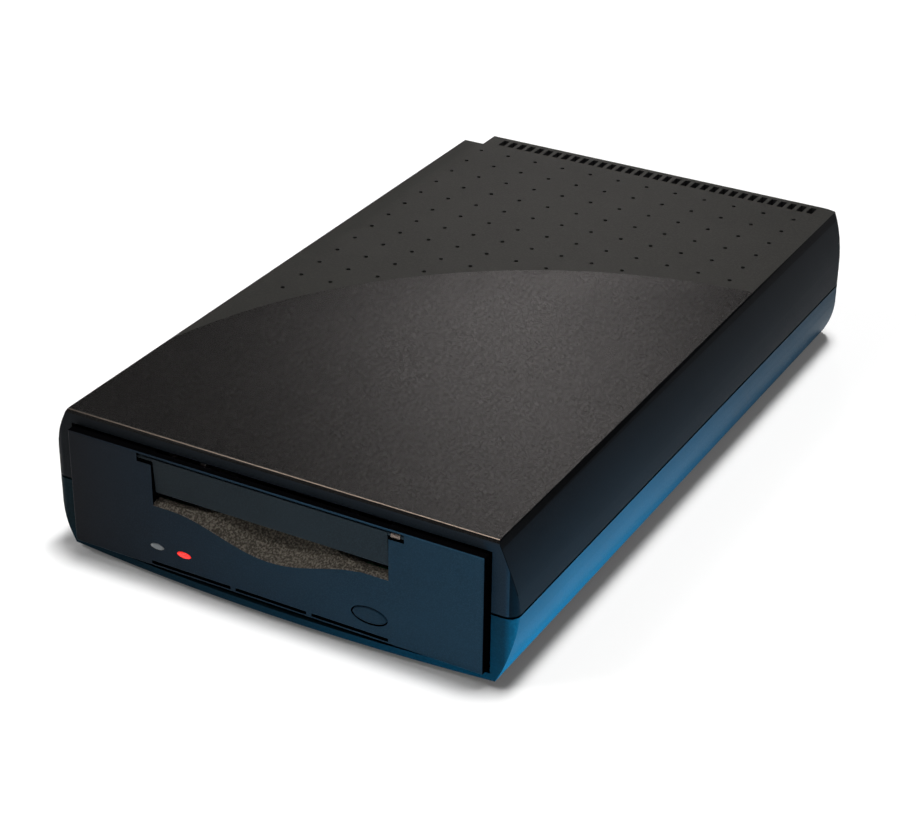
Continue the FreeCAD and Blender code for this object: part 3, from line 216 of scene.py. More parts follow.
def build_brush_group():
    """Drawn or rolled metal: fine lines along Y, and blotches of gloss."""
    tree, entry, leave = make_group("rolled metal", [("Line size", 0.0004), ("Blotch size", 0.012)],
                                    ["Lines", "Blotches"])
    place = object_place(tree)
    stretch = add_node(tree, "ShaderNodeMapping", Scale=(1.0, 0.06, 1.0), Vector=place)
    lines = noise(tree, stretch.outputs[0], entry.outputs["Line size"], detail=2.0)
    blotches = noise(tree, place, entry.outputs["Blotch size"], detail=3.0)
    tree.links.new(lines, leave.inputs["Lines"])
    tree.links.new(blotches, leave.inputs["Blotches"])
    return tree


GROUPS = {}


def group(name):
    """The shared group of that name, made the first time that it is asked for."""
    makers = {"grain": build_grain_group, "dust": build_dust_group, "brush": build_brush_group}
    if name not in GROUPS:
        GROUPS[name] = makers[name]()
    return GROUPS[name]


def use_group(tree, name, **values):
    """A node of the shared group of that name."""
    return add_node(tree, "ShaderNodeGroup", node_tree=group(name), **values)


# ---------------------------------------------------------------- materials
def start_material(name):
    """A named material with an empty principled shader in place."""
    material = bpy.data.materials.new(name)
    material.use_nodes = True
    tree = material.node_tree
    tree.nodes.clear()
    shader = tree.nodes.new("ShaderNodeBsdfPrincipled")
    add_node(tree, "ShaderNodeOutputMaterial", Surface=shader.outputs[0])
    return material, tree, shader


def scaled(colour, factor):
    """The colour made lighter or darker, with an alpha of one."""
    return tuple(min(1.0, c * factor) for c in colour[:3]) + (1.0,)


def ramp_between(tree, factor, low, high, value_low, value_high):
    """Turns the range low to high into the range value_low to value_high."""
    return add_node(tree, "ShaderNodeMapRange", in0=factor, in1=low, in2=high, in3=value_low,
                    in4=value_high).outputs[0]


def mix_colours(tree, factor, first, second, blend="MIX"):
    """The two colours blended by the factor."""
    return add_node(tree, "ShaderNodeMix", data_type="RGBA", blend_type=blend, in0=factor, in6=first,
                    in7=second).outputs[2]


def finish_shader(tree, shader, tint, rough, height, relief):
    """Feeds colour and roughness, and raises the height by the relief."""
    bump = add_node(tree, "ShaderNodeBump", Distance=relief, Height=height)
    for label, source in (("Base Color", tint), ("Roughness", rough), ("Normal", bump.outputs[0])):
        tree.links.new(source, shader.inputs[label])


def plastic(name, colour, roughness, speck=0.6 * MM, relief=0.02 * MM, spread=0.12, gloss=0.05,
            specular=0.5, dust=0.0, fleck=1.25, fade=None):
    """Moulded plastic: specks in relief, slow tint, lighter flecks, uneven gloss and a little dust.

    fade multiplies the colour at the left end and leaves the right end as it is: painted light, with the
    right end lit and the left end in painted shade.
    """
    material, tree, shader = start_material(name)
    grain = use_group(tree, "grain", Speck_size=speck, Cloud_size=30 * MM)
    cloudy = ramp_between(tree, grain.outputs["Tint"], 0.3, 0.7, 0.0, 1.0)
    tint = mix_colours(tree, cloudy, scaled(colour, 1 - spread), scaled(colour, 1 + spread))
    speckled = ramp_between(tree, grain.outputs["Height"], 0.45, 0.62, 0.0, 1.0)
    tint = mix_colours(tree, speckled, tint, scaled(colour, fleck))
    # painted light: the colour darkens across X towards the left end, as if lit from the right
    if fade:
        split = add_node(tree, "ShaderNodeSeparateXYZ", in0=object_place(tree))
        across = ramp_between(tree, split.outputs["X"], -75 * MM, 75 * MM, 1.0, 0.0)
        shade = mix_colours(tree, across, (1.0, 1.0, 1.0, 1.0), (*fade, 1.0))
        tint = mix_colours(tree, 1.0, tint, shade, "MULTIPLY")
    if dust:
        mask = use_group(tree, "dust", Patch_size=25 * MM, Amount=dust)
        tint = mix_colours(tree, mask.outputs["Mask"], tint, (0.30, 0.28, 0.25, 1.0))
    rough = ramp_between(tree, grain.outputs["Height"], 0.3, 0.7, roughness - gloss, roughness + gloss)
    finish_shader(tree, shader, tint, rough, grain.outputs["Height"], relief)
    shader.inputs["Specular IOR Level"].default_value = specular
    return material


def metal(name, colour, roughness, line=0.4 * MM, relief=0.004 * MM, metallic=1.0, spread=0.12):
    """Rolled or machined metal: fine lines and blotches of gloss."""
    material, tree, shader = start_material(name)
    brush = use_group(tree, "brush", Line_size=line, Blotch_size=12 * MM)
    blotches = brush.outputs["Blotches"]
    tint = mix_colours(tree, blotches, scaled(colour, 1 - spread), scaled(colour, 1 + spread))
    rough = ramp_between(tree, blotches, 0.3, 0.7, roughness * 0.8, roughness * 1.25)
    finish_shader(tree, shader, tint, rough, brush.outputs["Lines"], relief)
    shader.inputs["Metallic"].default_value = metallic
    return material


def circuit_board(name, colour, roughness):
    """Lacquered board: square-cornered tracks, pads and a slight waviness."""
    material, tree, shader = start_material(name)
    place = object_place(tree)
    tracks = add_node(tree, "ShaderNodeTexBrick", offset=0.5, Scale=260.0, Mortar_Size=0.06, Vector=place,
                      Color1=scaled(colour, 0.8), Color2=scaled(colour, 1.0), Mortar=scaled(colour, 1.9))
    pads = add_node(tree, "ShaderNodeTexVoronoi", Scale=330.0, Randomness=0.25, Vector=place)
    dots = ramp_between(tree, pads.outputs["Distance"], 0.16, 0.2, 1.0, 0.0)
    tint = mix_colours(tree, dots, tracks.outputs["Color"], (0.55, 0.52, 0.42, 1.0))
    grain = use_group(tree, "grain", Speck_size=4 * MM, Cloud_size=20 * MM)
    rough = ramp_between(tree, grain.outputs["Tint"], 0.3, 0.7, roughness, roughness + 0.17)
    finish_shader(tree, shader, tint, rough, maths(tree, "ADD", tracks.outputs["Fac"], dots), 0.03 * MM)
    return material


def lens(name, colour, glow):
    """Indicator window: cast resin with a faint flow pattern."""
    material, tree, shader = start_material(name)
    grain = use_group(tree, "grain", Speck_size=1.2 * MM, Cloud_size=4 * MM)
    tint = mix_colours(tree, grain.outputs["Tint"], scaled(colour, 0.75), scaled(colour, 1.25))
    rough = ramp_between(tree, grain.outputs["Height"], 0.3, 0.7, 0.12, 0.25)
    finish_shader(tree, shader, tint, rough, grain.outputs["Height"], 0.01 * MM)
    if glow:
        tree.links.new(tint, shader.inputs["Emission Color"])
        shader.inputs["Emission Strength"].default_value = glow
    return material


MATERIALS = {}


def finish_table(case, front):
    """Every finish by name: its maker, label, colour, roughness and options, with lengths in metres."""
    # painted light on the bezel and button: darker towards the left, lit towards the right
    bezel_painted_light_fade = (0.55, 0.2, 0.15)
    return {
        "lid front": (plastic, "grained lid plastic", case.top_colour, 0.27,
                      dict(speck=case.grain_size, relief=0.05 * MM, spread=0.2, specular=0.12, dust=0.01,
                           fleck=1.5)),
        "lid rear": (plastic, "smoother lid plastic", case.rear_colour, 0.46,
                     dict(speck=0.7 * MM, relief=0.04 * MM, specular=0.12, dust=0.015, fleck=2.0)),
        "side": (plastic, "side satin plastic", case.side_colour, 0.38,
                 dict(speck=0.7 * MM, relief=0.012 * MM, specular=0.015)),
        "base": (plastic, "base satin plastic", case.base_colour, 0.38,
                 dict(speck=0.7 * MM, relief=0.012 * MM, specular=0.02)),
        # painted shade: near-black, without gloss, for the bezel's faces that do not face forward
        "gap": (plastic, "shaded gap plastic", (0.001, 0.001, 0.0012), 0.6, dict(specular=0.0)),
        # painted light: the rim darkens towards the left
        "rim": (plastic, "rim plastic", (0.014, 0.021, 0.029), 0.4,
                dict(speck=0.5 * MM, specular=0.04, fade=(0.5, 0.42, 0.38))),
        # painted shade: near-black for the lid's rounded edges and the sloped faces along its sides
        "dark edge": (plastic, "dark edge", (0.0012, 0.0014, 0.0018), 0.5,
                      dict(speck=0.5 * MM, specular=0.02)),
        # painted highlight: a pale strip along the lid's and the bezel's top front edges, fading towards the
        # left
        "edge": (plastic, "bright edge", (0.55, 0.42, 0.33), 0.35,
                 dict(speck=0.5 * MM, specular=0.3, fade=(0.13, 0.13, 0.13))),
        "inside": (plastic, "unpainted inside", (0.02, 0.02, 0.021), 0.6, dict(speck=0.9 * MM)),
        # painted light: the bezel darkens towards the left
        "bezel": (plastic, "bezel satin plastic", front.bezel_colour, 0.4,
                  dict(speck=0.45 * MM, relief=0.016 * MM, specular=0.04, fade=bezel_painted_light_fade)),
        "scoop": (plastic, "rough scoop", front.scoop_colour, 0.75,
                  dict(speck=0.7 * MM, relief=0.3 * MM, spread=0.2, specular=0.2, fleck=3.4)),
        # painted light: the door and the button darken towards the left
        "door": (plastic, "door satin plastic", (0.021, 0.036, 0.048), 0.36,
                 dict(speck=0.45 * MM, relief=0.01 * MM, specular=0.04, fade=(0.5, 0.38, 0.32))),
        "button": (plastic, "button plastic", scaled(front.bezel_colour, 0.9), 0.36,
                   dict(speck=0.4 * MM, relief=0.01 * MM, specular=0.04, fade=bezel_painted_light_fade)),
        "clear": (lens, "clear lamp", (0.16, 0.18, 0.19), 0.0, {}),
        "lit": (lens, "lit lamp", front.lamp_colour, 0.9, {}),
        "rubber": (plastic, "foot rubber", (0.018, 0.018, 0.018), 0.8,
                   dict(speck=0.5 * MM, relief=0.04 * MM, dust=0.1)),
        "roller": (plastic, "roller rubber", (0.03, 0.03, 0.032), 0.65, dict(speck=0.3 * MM)),
        "steel": (metal, "zinc-plated sheet", (0.58, 0.58, 0.57), 0.32, {}),
        "screw": (metal, "blackened screw", (0.09, 0.09, 0.095), 0.35, dict(line=0.2 * MM)),
        "pale screw": (metal, "plated screw", (0.62, 0.62, 0.6), 0.28, dict(line=0.2 * MM)),
        "aluminium": (metal, "turned aluminium", (0.78, 0.78, 0.79), 0.2, dict(line=0.2 * MM)),
        "nickel": (metal, "nickel", (0.66, 0.62, 0.56), 0.16, dict(line=0.2 * MM)),
        "spring wire": (metal, "spring wire", (0.28, 0.23, 0.2), 0.3, dict(line=0.2 * MM)),
        "panel": (metal, "painted rear panel", (0.05, 0.05, 0.052), 0.5, dict(metallic=0.0, spread=0.2)),
        "gear": (plastic, "acetal gear", (0.75, 0.73, 0.66), 0.4, {}),
        "moulding": (plastic, "black moulding", (0.012, 0.012, 0.013), 0.45, dict(speck=0.5 * MM)),
        "board": (circuit_board, "green board", (0.012, 0.09, 0.035), 0.25, {}),
        "header": (plastic, "connector body", (0.03, 0.03, 0.032), 0.45, dict(speck=0.4 * MM)),
        "can": (plastic, "capacitor sleeve", (0.02, 0.03, 0.09), 0.3, dict(speck=0.8 * MM)),
        "winding": (plastic, "transformer tape", (0.55, 0.36, 0.06), 0.35, dict(speck=1.2 * MM, spread=0.2)),
        "cable": (ribbed_cable, "grey ribbon", (0.34, 0.34, 0.35), 0.4,
                  dict(pale=(0.46, 0.46, 0.47), groove=(0.25, 0.25, 0.26))),
    }


def material(name):
    """A finish by its name, made the first time that it is asked for."""
    if name not in MATERIALS:
        scene = bpy.context.scene
        maker, label, colour, level, options = finish_table(scene.tape_case, scene.tape_front)[name]
        MATERIALS[name] = maker(label, colour, level, **options)
    return MATERIALS[name]


def ribbed_cable(name, colour, roughness, pale, groove):
    """Flat cable: parallel wires as ridges across X, mottled between two greys, with darker grooves."""
    made, tree, shader = start_material(name)
    ridges = add_node(tree, "ShaderNodeTexWave", bands_direction="X", Scale=250.0, Vector=object_place(tree))
    grain = use_group(tree, "grain", Speck_size=1 * MM, Cloud_size=20 * MM)
    tint = mix_colours(tree, grain.outputs["Tint"], (*colour, 1.0), (*pale, 1.0))
    shaded = mix_colours(tree, ridges.outputs["Fac"], (*groove, 1.0), tint)
    rough = ramp_between(tree, grain.outputs["Height"], 0.3, 0.7, roughness, roughness + 0.15)
    finish_shader(tree, shader, shaded, rough, ridges.outputs["Fac"], 0.3 * MM)
    return made


# ---------------------------------------------------------------- pieces
def new_piece(name, mesh):
    """An object for the mesh, in the scene."""
    piece = bpy.data.objects.new(name, mesh)
    bpy.context.scene.collection.objects.link(piece)
    return piece


def smooth(mesh, degrees):
    """Smooth shading, broken where faces meet at more than this angle."""
    mesh.polygons.foreach_set("use_smooth", [True] * len(mesh.polygons))
    mesh.set_sharp_from_angle(angle=math.radians(degrees))


def mesh_of(work, name):
    """A new mesh from the work, which is freed."""
    mesh = bpy.data.meshes.new(name)
    work.to_mesh(mesh)
    work.free()
    return mesh


def clean_copy(node, name):
    """The node's surface as one smooth mesh: doubles merged, flat areas dissolved into large faces."""
    mesh = frame["nodes"][node].data.copy()
    mesh.name = name
    work = bmesh.new()
    work.from_mesh(mesh)
    bmesh.ops.remove_doubles(work, verts=work.verts, dist=0.002 * MM)
    bmesh.ops.dissolve_limit(work, angle_limit=math.radians(0.4), verts=work.verts, edges=work.edges,
                             use_dissolve_boundaries=False)
    work.to_mesh(mesh)
    work.free()
    smooth(mesh, 30)
    mesh.materials.clear()
    return new_piece(name, mesh)


def soften(piece, radius, segments=2):
    """Rounds every sharp edge a little and keeps flat faces flat."""
    bevel = piece.modifiers.new("edges", "BEVEL")
    bevel.width = radius
    bevel.segments = segments
    bevel.limit_method = "ANGLE"
    bevel.angle_limit = math.radians(35)
    weigh = piece.modifiers.new("flat faces lead", "WEIGHTED_NORMAL")
    weigh.keep_sharp = True


def along_step(edge):
    """Whether an edge belongs to the small step along the lid's arc."""
    deepest = max(CASE_HIGH.z - vert.co.z for vert in edge.verts)
    return 0.01 * MM < deepest < 0.3 * MM or any(
        abs(face.normal.z) < 0.5 and CASE_HIGH.z - face.calc_center_median().z < 0.3 * MM
        for face in edge.link_faces)


def round_outer(piece, radius, inner, low_z, finish=-1):
    """Rounds the edges between outer faces alone; the finish numbered inner marks the other faces.

    The rounding takes the finish of that number, or that of the faces beside it when it is -1.
    """
    work = bmesh.new()
    work.from_mesh(piece.data)
    weight = work.edges.layers.float.new("bevel_weight_edge")
    for edge in work.edges:
        if len(edge.link_faces) != 2 or any(face.material_index == inner for face in edge.link_faces):
            continue
        sharp = edge.calc_face_angle() >= math.radians(28) and edge.calc_length() >= 0.3 * MM
        if sharp and not along_step(edge) and min(vert.co.z for vert in edge.verts) > low_z:
            edge[weight] = 1.0
    work.to_mesh(piece.data)
    work.free()
    bevel = piece.modifiers.new("moulded edges", "BEVEL")
    bevel.width = radius
    bevel.segments = 3
    bevel.limit_method = "WEIGHT"
    bevel.material = finish
    weigh = piece.modifiers.new("flat faces lead", "WEIGHTED_NORMAL")
    weigh.keep_sharp = True


def strip_along(piece, width, finish, front, top):
    """Cuts a narrow strip along the edges ahead of front and above top, with the finish of that number."""
    work = bmesh.new()
    work.from_mesh(piece.data)
    edges = [edge for edge in work.edges if all(v.co.y < front and v.co.z > top for v in edge.verts)]
    bmesh.ops.bevel(work, geom=edges, offset=width, offset_type="OFFSET", segments=2, profile=0.5,
                    affect="EDGES", material=finish, clamp_overlap=True)
    work.to_mesh(piece.data)
    work.free()


def stand_for(piece, node, body, slot, *finishes):
    """The piece rides on a body, replaces a node and takes its finishes."""
    for finish in finishes:
        piece.data.materials.append(material(finish))
    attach(piece, body)
    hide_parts(node)
    return piece


def paint(finish, *nodes):
    """CAD nodes keep their shape and get a finish."""
    for node in nodes:
        piece = frame["nodes"][node]
        piece.data.materials.clear()
        piece.data.materials.append(material(finish))


# numbers of the finishes, in the order of each piece's material slots
LID_FRONT, LID_REAR, LID_SIDE, LID_RIM, LID_PAINTED_HIGHLIGHT, LID_INSIDE, LID_PAINTED_SHADE = range(7)
BASE_OUTSIDE, BASE_INSIDE = range(2)
BEZEL_FACE, BEZEL_SCOOP, BEZEL_PAINTED_SHADE, BEZEL_PAINTED_HIGHLIGHT = range(4)


def lid_finish(face):
    """Number of the lid's finish on a face, from where it lies and which way it looks."""
    depth = CASE_HIGH.z - face.center.z
    near_top = depth < 2.2 * MM
    # the sloped faces along the lid's side edges get painted shade
    if near_top and face.normal.z > 0.1 and abs(face.normal.x) > 0.2:
        return LID_PAINTED_SHADE
    if near_top and face.normal.z > 0.35:
        return LID_FRONT if depth > 0.2 * MM else LID_REAR
    if depth < 0.3 * MM:
        return LID_REAR
    if face.normal.y < -0.9 and face.center.y < CASE_LOW.y + 2 * MM:
        return LID_RIM
    beside = abs(face.normal.x) > 0.4 and abs(face.center.x) > 79.5 * MM
    return LID_SIDE if beside or face.center.y > CASE_HIGH.y - 1 * MM else LID_INSIDE


class TAPE_OT_case(bpy.types.Operator):
    """Bowed top and bottom shells with grain, rounded outer edges and a smoother rear field"""
    bl_idname = "tape.case_shells"
    bl_label = "Case shells"

    def execute(self, context):
        looks = context.scene.tape_case
        lid = clean_copy("top_shell", "case_top")
        stand_for(lid, "top_shell", "case", "case_top_plastic",
                  "lid front", "lid rear", "side", "rim", "edge", "inside", "dark edge")
        for face in lid.data.polygons:
            face.material_index = lid_finish(face)
        for vert in lid.data.vertices:
            if 0.1 * MM < CASE_HIGH.z - vert.co.z < 0.3 * MM:
                vert.co.z = CASE_HIGH.z - looks.step
        top = CASE_HIGH.z - 0.1 * MM
        front = min(vert.co.y for vert in lid.data.vertices if vert.co.z > top)
        # a painted highlight along the lid's top front edge
        strip_along(lid, 0.85 * MM, LID_PAINTED_HIGHLIGHT, front + 0.5 * MM, top)
        # the roundings of the lid's outer edges take the painted shade finish
        round_outer(lid, looks.edge_radius, LID_INSIDE, 0.0, LID_PAINTED_SHADE)
        base = clean_copy("bottom_shell", "case_bottom")
        stand_for(base, "bottom_shell", "case", "case_bottom_plastic", "base", "inside")
        low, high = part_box("bottom_shell")
        for face in base.data.polygons:
            inner = abs(face.center.x) < 77.5 * MM and face.center.z > low.z + 1.5 * MM
            inner = inner and face.center.y > low.y + 8 * MM
            face.material_index = BASE_INSIDE if inner else BASE_OUTSIDE
        round_outer(base, looks.edge_radius, BASE_INSIDE, -1.0)
        return {"FINISHED"}


class TAPE_OT_front(bpy.types.Operator):
    """Bezel with its rough finger scoop, door, eject button and indicator windows"""
    bl_idname = "tape.front_face"
    bl_label = "Front face"

    def execute(self, context):
        bezel = clean_copy("front_bezel", "front_fascia")
        stand_for(bezel, "front_bezel", "case", "bezel_plastic", "bezel", "scoop", "gap", "edge")
        # a painted highlight along the bezel's top front edge
        strip_along(bezel, 0.4 * MM, BEZEL_PAINTED_HIGHLIGHT, BEZEL_LOW.y + 0.1 * MM, BEZEL_HIGH.z - 0.1 * MM)
        half = DOOR_HIGH.x + 0.6 * MM
        for face in bezel.data.polygons:
            if face.material_index == BEZEL_PAINTED_HIGHLIGHT:
                continue
            in_slot = 18 * MM < face.center.z < DOOR_LOW.z and abs(face.center.x) < half
            if in_slot and face.normal.z > 0.6:
                face.material_index = BEZEL_SCOOP
            else:
                # faces that do not face forward get near-black painted shade
                ahead = face.center.y < BEZEL_LOW.y + 0.3 * MM
                face.material_index = BEZEL_FACE if ahead else BEZEL_PAINTED_SHADE
        soften(bezel, 0.15 * MM)
        door = clean_copy("door_flap", "cassette_door")
        stand_for(door, "door_flap", "door", "door_plastic", "door")
        soften(door, 0.12 * MM)
        button = clean_copy("eject_button", "eject_key")
        stand_for(button, "eject_button", "eject_button", "door_plastic", "button")
        soften(button, 0.1 * MM)
        for node, name, finish, slot in (("led_window_clear", "idle_lamp", "clear", "lens_clear"),
                                         ("led_window_red", "busy_lamp", "lit", "lens_red")):
            window = clean_copy(node, name)
            stand_for(window, node, "case", slot, finish)
            soften(window, 0.25 * MM, 3)
        return {"FINISHED"}


# ---------------------------------------------------------------- geometry nodes
def node_tree(name, inputs):
    """An empty geometry tree with its group nodes and named inputs."""
    tree = bpy.data.node_groups.new(name, "GeometryNodeTree")
    tree.interface.new_socket("Geometry", in_out="INPUT", socket_type="NodeSocketGeometry")
    for label, kind in inputs:
        tree.interface.new_socket(label, in_out="INPUT", socket_type=kind)
    tree.interface.new_socket("Geometry", in_out="OUTPUT", socket_type="NodeSocketGeometry")
    return tree, tree.nodes.new("NodeGroupInput"), tree.nodes.new("NodeGroupOutput")


def bake_tree(piece, tree, values):
    """Runs a tree on the piece and keeps the result as its plain mesh."""
    modifier = piece.modifiers.new("build", "NODES")
    modifier.node_group = tree
    for item in tree.interface.items_tree:
        if item.in_out == "INPUT" and item.name in values:
            modifier[item.identifier] = values[item.name]
    evaluated = piece.evaluated_get(bpy.context.evaluated_depsgraph_get())
    mesh = bpy.data.meshes.new_from_object(evaluated)
    piece.modifiers.remove(modifier)
    piece.data = mesh
    return piece


def finish_tree(tree, leave, geometry, finish):
    """Ends a tree: real geometry in one finish."""
    real = add_node(tree, "GeometryNodeRealizeInstances", in0=geometry)
    coat = add_node(tree, "GeometryNodeSetMaterial", in0=real.outputs[0], Material=finish)
    tree.links.new(coat.outputs[0], leave.inputs[0])


def point_cloud(name, points):
    """A piece of loose points, on which a tree lays its shapes."""
    mesh = bpy.data.meshes.new(name)
    mesh.from_pydata([tuple(p) for p in points], [], [])
    return new_piece(name, mesh)


def coil_tree(finish):
    """Wire wound in a helix along Z through each point."""
    inputs = [("Turns", "NodeSocketInt")]
    inputs += [(label, "NodeSocketFloat") for label in ("Radius", "Length", "Wire")]
    tree, entry, leave = node_tree("wound spring", inputs)
    given = entry.outputs
    spiral = add_node(tree, "GeometryNodeCurveSpiral", Resolution=18, Rotations=given["Turns"],
                      Start_Radius=given["Radius"], End_Radius=given["Radius"], Height=given["Length"])
    wire = add_node(tree, "GeometryNodeCurvePrimitiveCircle", Resolution=8,
                    Radius=maths(tree, "MULTIPLY", given["Wire"], 0.5))
    sweep = add_node(tree, "GeometryNodeCurveToMesh", Curve=spiral.outputs[0],
                     Profile_Curve=wire.outputs[0], Fill_Caps=True)
    lay = add_node(tree, "GeometryNodeInstanceOnPoints", Points=given["Geometry"],
                   Instance=sweep.outputs[0], Rotation=(0.0, math.pi / 2, 0.0))
    finish_tree(tree, leave, lay.outputs[0], finish)
    return tree


class TAPE_OT_spring(bpy.types.Operator):
    """Torsion spring wound round the door's right hinge pin"""
    bl_idname = "tape.door_spring"
    bl_label = "Door spring"

    def execute(self, context):
        looks = context.scene.tape_front
        low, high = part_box("door_spring")
        centre = (low + high) / 2
        start = Vector((low.x + looks.coil_wire / 2, centre.y, centre.z))
        coil = point_cloud("hinge_coil", [start])
        radius = (high.z - low.z) / 2 - looks.coil_wire / 2
        bake_tree(coil, coil_tree(material("spring wire")),
                  {"Turns": looks.coil_turns, "Radius": radius, "Wire": looks.coil_wire,
                   "Length": high.x - low.x - looks.coil_wire})
        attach(coil, "case")
        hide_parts("door_spring")
        return {"FINISHED"}


def recess_cutter(radius, depth, share):
    """Cross-shaped prism for a screwdriver recess."""
    arm = radius * share
    thick = radius * 0.2
    outline = [(arm, -thick), (arm, thick), (thick, thick),
               (thick, arm), (-thick, arm), (-thick, thick),
               (-arm, thick), (-arm, -thick), (-thick, -thick),
               (-thick, -arm), (thick, -arm), (thick, -thick)]
    mesh = bpy.data.meshes.new("recess")
    count = len(outline)
    verts = [(x, y, z) for z in (-depth, depth) for x, y in outline]
    faces = [tuple(range(count))[::-1], tuple(range(count, 2 * count))]
    faces += [(i, (i + 1) % count, (i + 1) % count + count, i + count) for i in range(count)]
    mesh.from_pydata(verts, [], faces)
    return mesh


def screw_head_mesh(radius, height, share):
    """Pan head with a domed rim and a cross recess, its flat underside at z = 0."""
    work = bmesh.new()
    profile = [(0.0, height), (0.55, height), (0.78, 0.96 * height), (0.92, 0.8 * height),
               (1.0, 0.45 * height), (1.0, 0.0), (0.0, 0.0)]
    sides = 28
    rings = []
    for share_r, z in profile:
        if share_r == 0.0:
            rings.append([work.verts.new((0, 0, z))])
            continue
        rings.append([work.verts.new((radius * share_r * math.cos(2 * math.pi * i / sides),
                                      radius * share_r * math.sin(2 * math.pi * i / sides), z))
                      for i in range(sides)])
    for first, second in zip(rings, rings[1:]):
        for i in range(sides):
            j = (i + 1) % sides
            corners = [first[i % len(first)], second[i % len(second)],
                       second[j % len(second)], first[j % len(first)]]
            work.faces.new(list(dict.fromkeys(corners)))
    bmesh.ops.recalc_face_normals(work, faces=work.faces)
    head = new_piece("screw head", mesh_of(work, "screw head"))
    cutter = new_piece("screw recess", recess_cutter(radius, height * 0.75, share))
    cutter.location.z = height
    cut = head.modifiers.new("recess", "BOOLEAN")
    cut.object = cutter
    cut.operation = "DIFFERENCE"
    cut.solver = "EXACT"
    bpy.context.view_layer.update()
    made = bpy.data.meshes.new_from_object(head.evaluated_get(bpy.context.evaluated_depsgraph_get()))
    bpy.data.objects.remove(cutter)
    head.modifiers.clear()
    head.data = made
    smooth(made, 32)
    return head


def screw_tree(name, head, finish, turn):
    """A screw head on every point, each turned by its own amount."""
    tree, entry, leave = node_tree(name, [("Seed", "NodeSocketInt")])
    given = add_node(tree, "GeometryNodeObjectInfo", Object=head)
    spin = add_node(tree, "FunctionNodeRandomValue", data_type="FLOAT_VECTOR", Min=(0.0, 0.0, 0.0),
                    Max=(0.0, 0.0, math.pi / 2), Seed=entry.outputs["Seed"])
    lay = add_node(tree, "GeometryNodeInstanceOnPoints", Points=entry.outputs["Geometry"],
                   Instance=given.outputs["Geometry"], Rotation=turn)
    twist = add_node(tree, "GeometryNodeRotateInstances", Instances=lay.outputs[0],
                     Rotation=spin.outputs[0], Local_Space=True)
    finish_tree(tree, leave, twist.outputs[0], finish)
    return tree


def islands_of(node):
    """Box of each loose part of a CAD node, sorted by place, so that every run gives one order."""
    work = bmesh.new()
    work.from_mesh(frame["nodes"][node].data)
    bmesh.ops.remove_doubles(work, verts=work.verts, dist=0.002 * MM)
    left = set(work.verts)
    boxes = []
    while left:
        stack = [left.pop()]
        found = list(stack)
        while stack:
            for edge in stack.pop().link_edges:
                for vert in edge.verts:
                    if vert in left:
                        left.remove(vert)
                        stack.append(vert)
                        found.append(vert)
        low = Vector([min(v.co[i] for v in found) for i in range(3)])
        high = Vector([max(v.co[i] for v in found) for i in range(3)])
        boxes.append((low, high))
    work.free()
    return sorted(boxes, key=lambda box: tuple(box[0]))


def shank(name, boxes, axis, finish, radius=1.45 * MM):
    """Plain round shanks under the heads, one for each box, as one mesh."""
    work = bmesh.new()
    for low, high in boxes:
        centre = (low + high) / 2
        length = (high - low)[axis]
        turn = Matrix.Rotation(math.pi / 2, 4, "X") if axis == 1 else Matrix.Identity(4)
        bmesh.ops.create_cone(work, cap_ends=True, segments=16, radius1=radius, radius2=radius,
                              depth=length, matrix=Matrix.Translation(centre) @ turn)
    mesh = mesh_of(work, name)
    mesh.materials.append(finish)
    return mesh


def screws(node, name, axis, side, head_height, finish, context):
    """Replaces a node of screws: each gets a recessed pan head and a round shank."""
    looks = context.scene.tape_fasteners
    boxes = islands_of(node)
    low, high = boxes[0]
    radius = (high - low).x / 2
    head = screw_head_mesh(radius, head_height, looks.recess_width)
    turns = {(2, -1): (math.pi, 0, 0), (1, 1): (-math.pi / 2, 0, 0)}
    points = []
    for low, high in boxes:
        point = (low + high) / 2
        point[axis] = high[axis] - head_height if side > 0 else low[axis] + head_height
        points.append(point)
    heads = point_cloud(name, points)
    bake_tree(heads, screw_tree(name + " layout", head, material(finish), turns[(axis, side)]), {"Seed": 4})
    bpy.data.objects.remove(head)
    shafts = shank(name, boxes, axis, material(finish))
    work = bmesh.new()
    work.from_mesh(heads.data)
    work.from_mesh(shafts)
    work.to_mesh(heads.data)
    work.free()
    return heads


class TAPE_OT_fasteners(bpy.types.Operator):
    """Cross-recess screws under the case and on the fan"""
    bl_idname = "tape.fasteners"
    bl_label = "Screws"

    def execute(self, context):
        for node, name, axis, side, height, finish, slot in (
                ("case_screws", "case_screw_set", 2, -1, 1.8 * MM, "screw", "screw_steel"),
                ("fan_screws", "fan_screw_set", 1, 1, 1.6 * MM, "screw", "screw_steel")):
            made = screws(node, name, axis, side, height, finish, context)
            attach(made, "case")
            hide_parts(node)
        return {"FINISHED"}


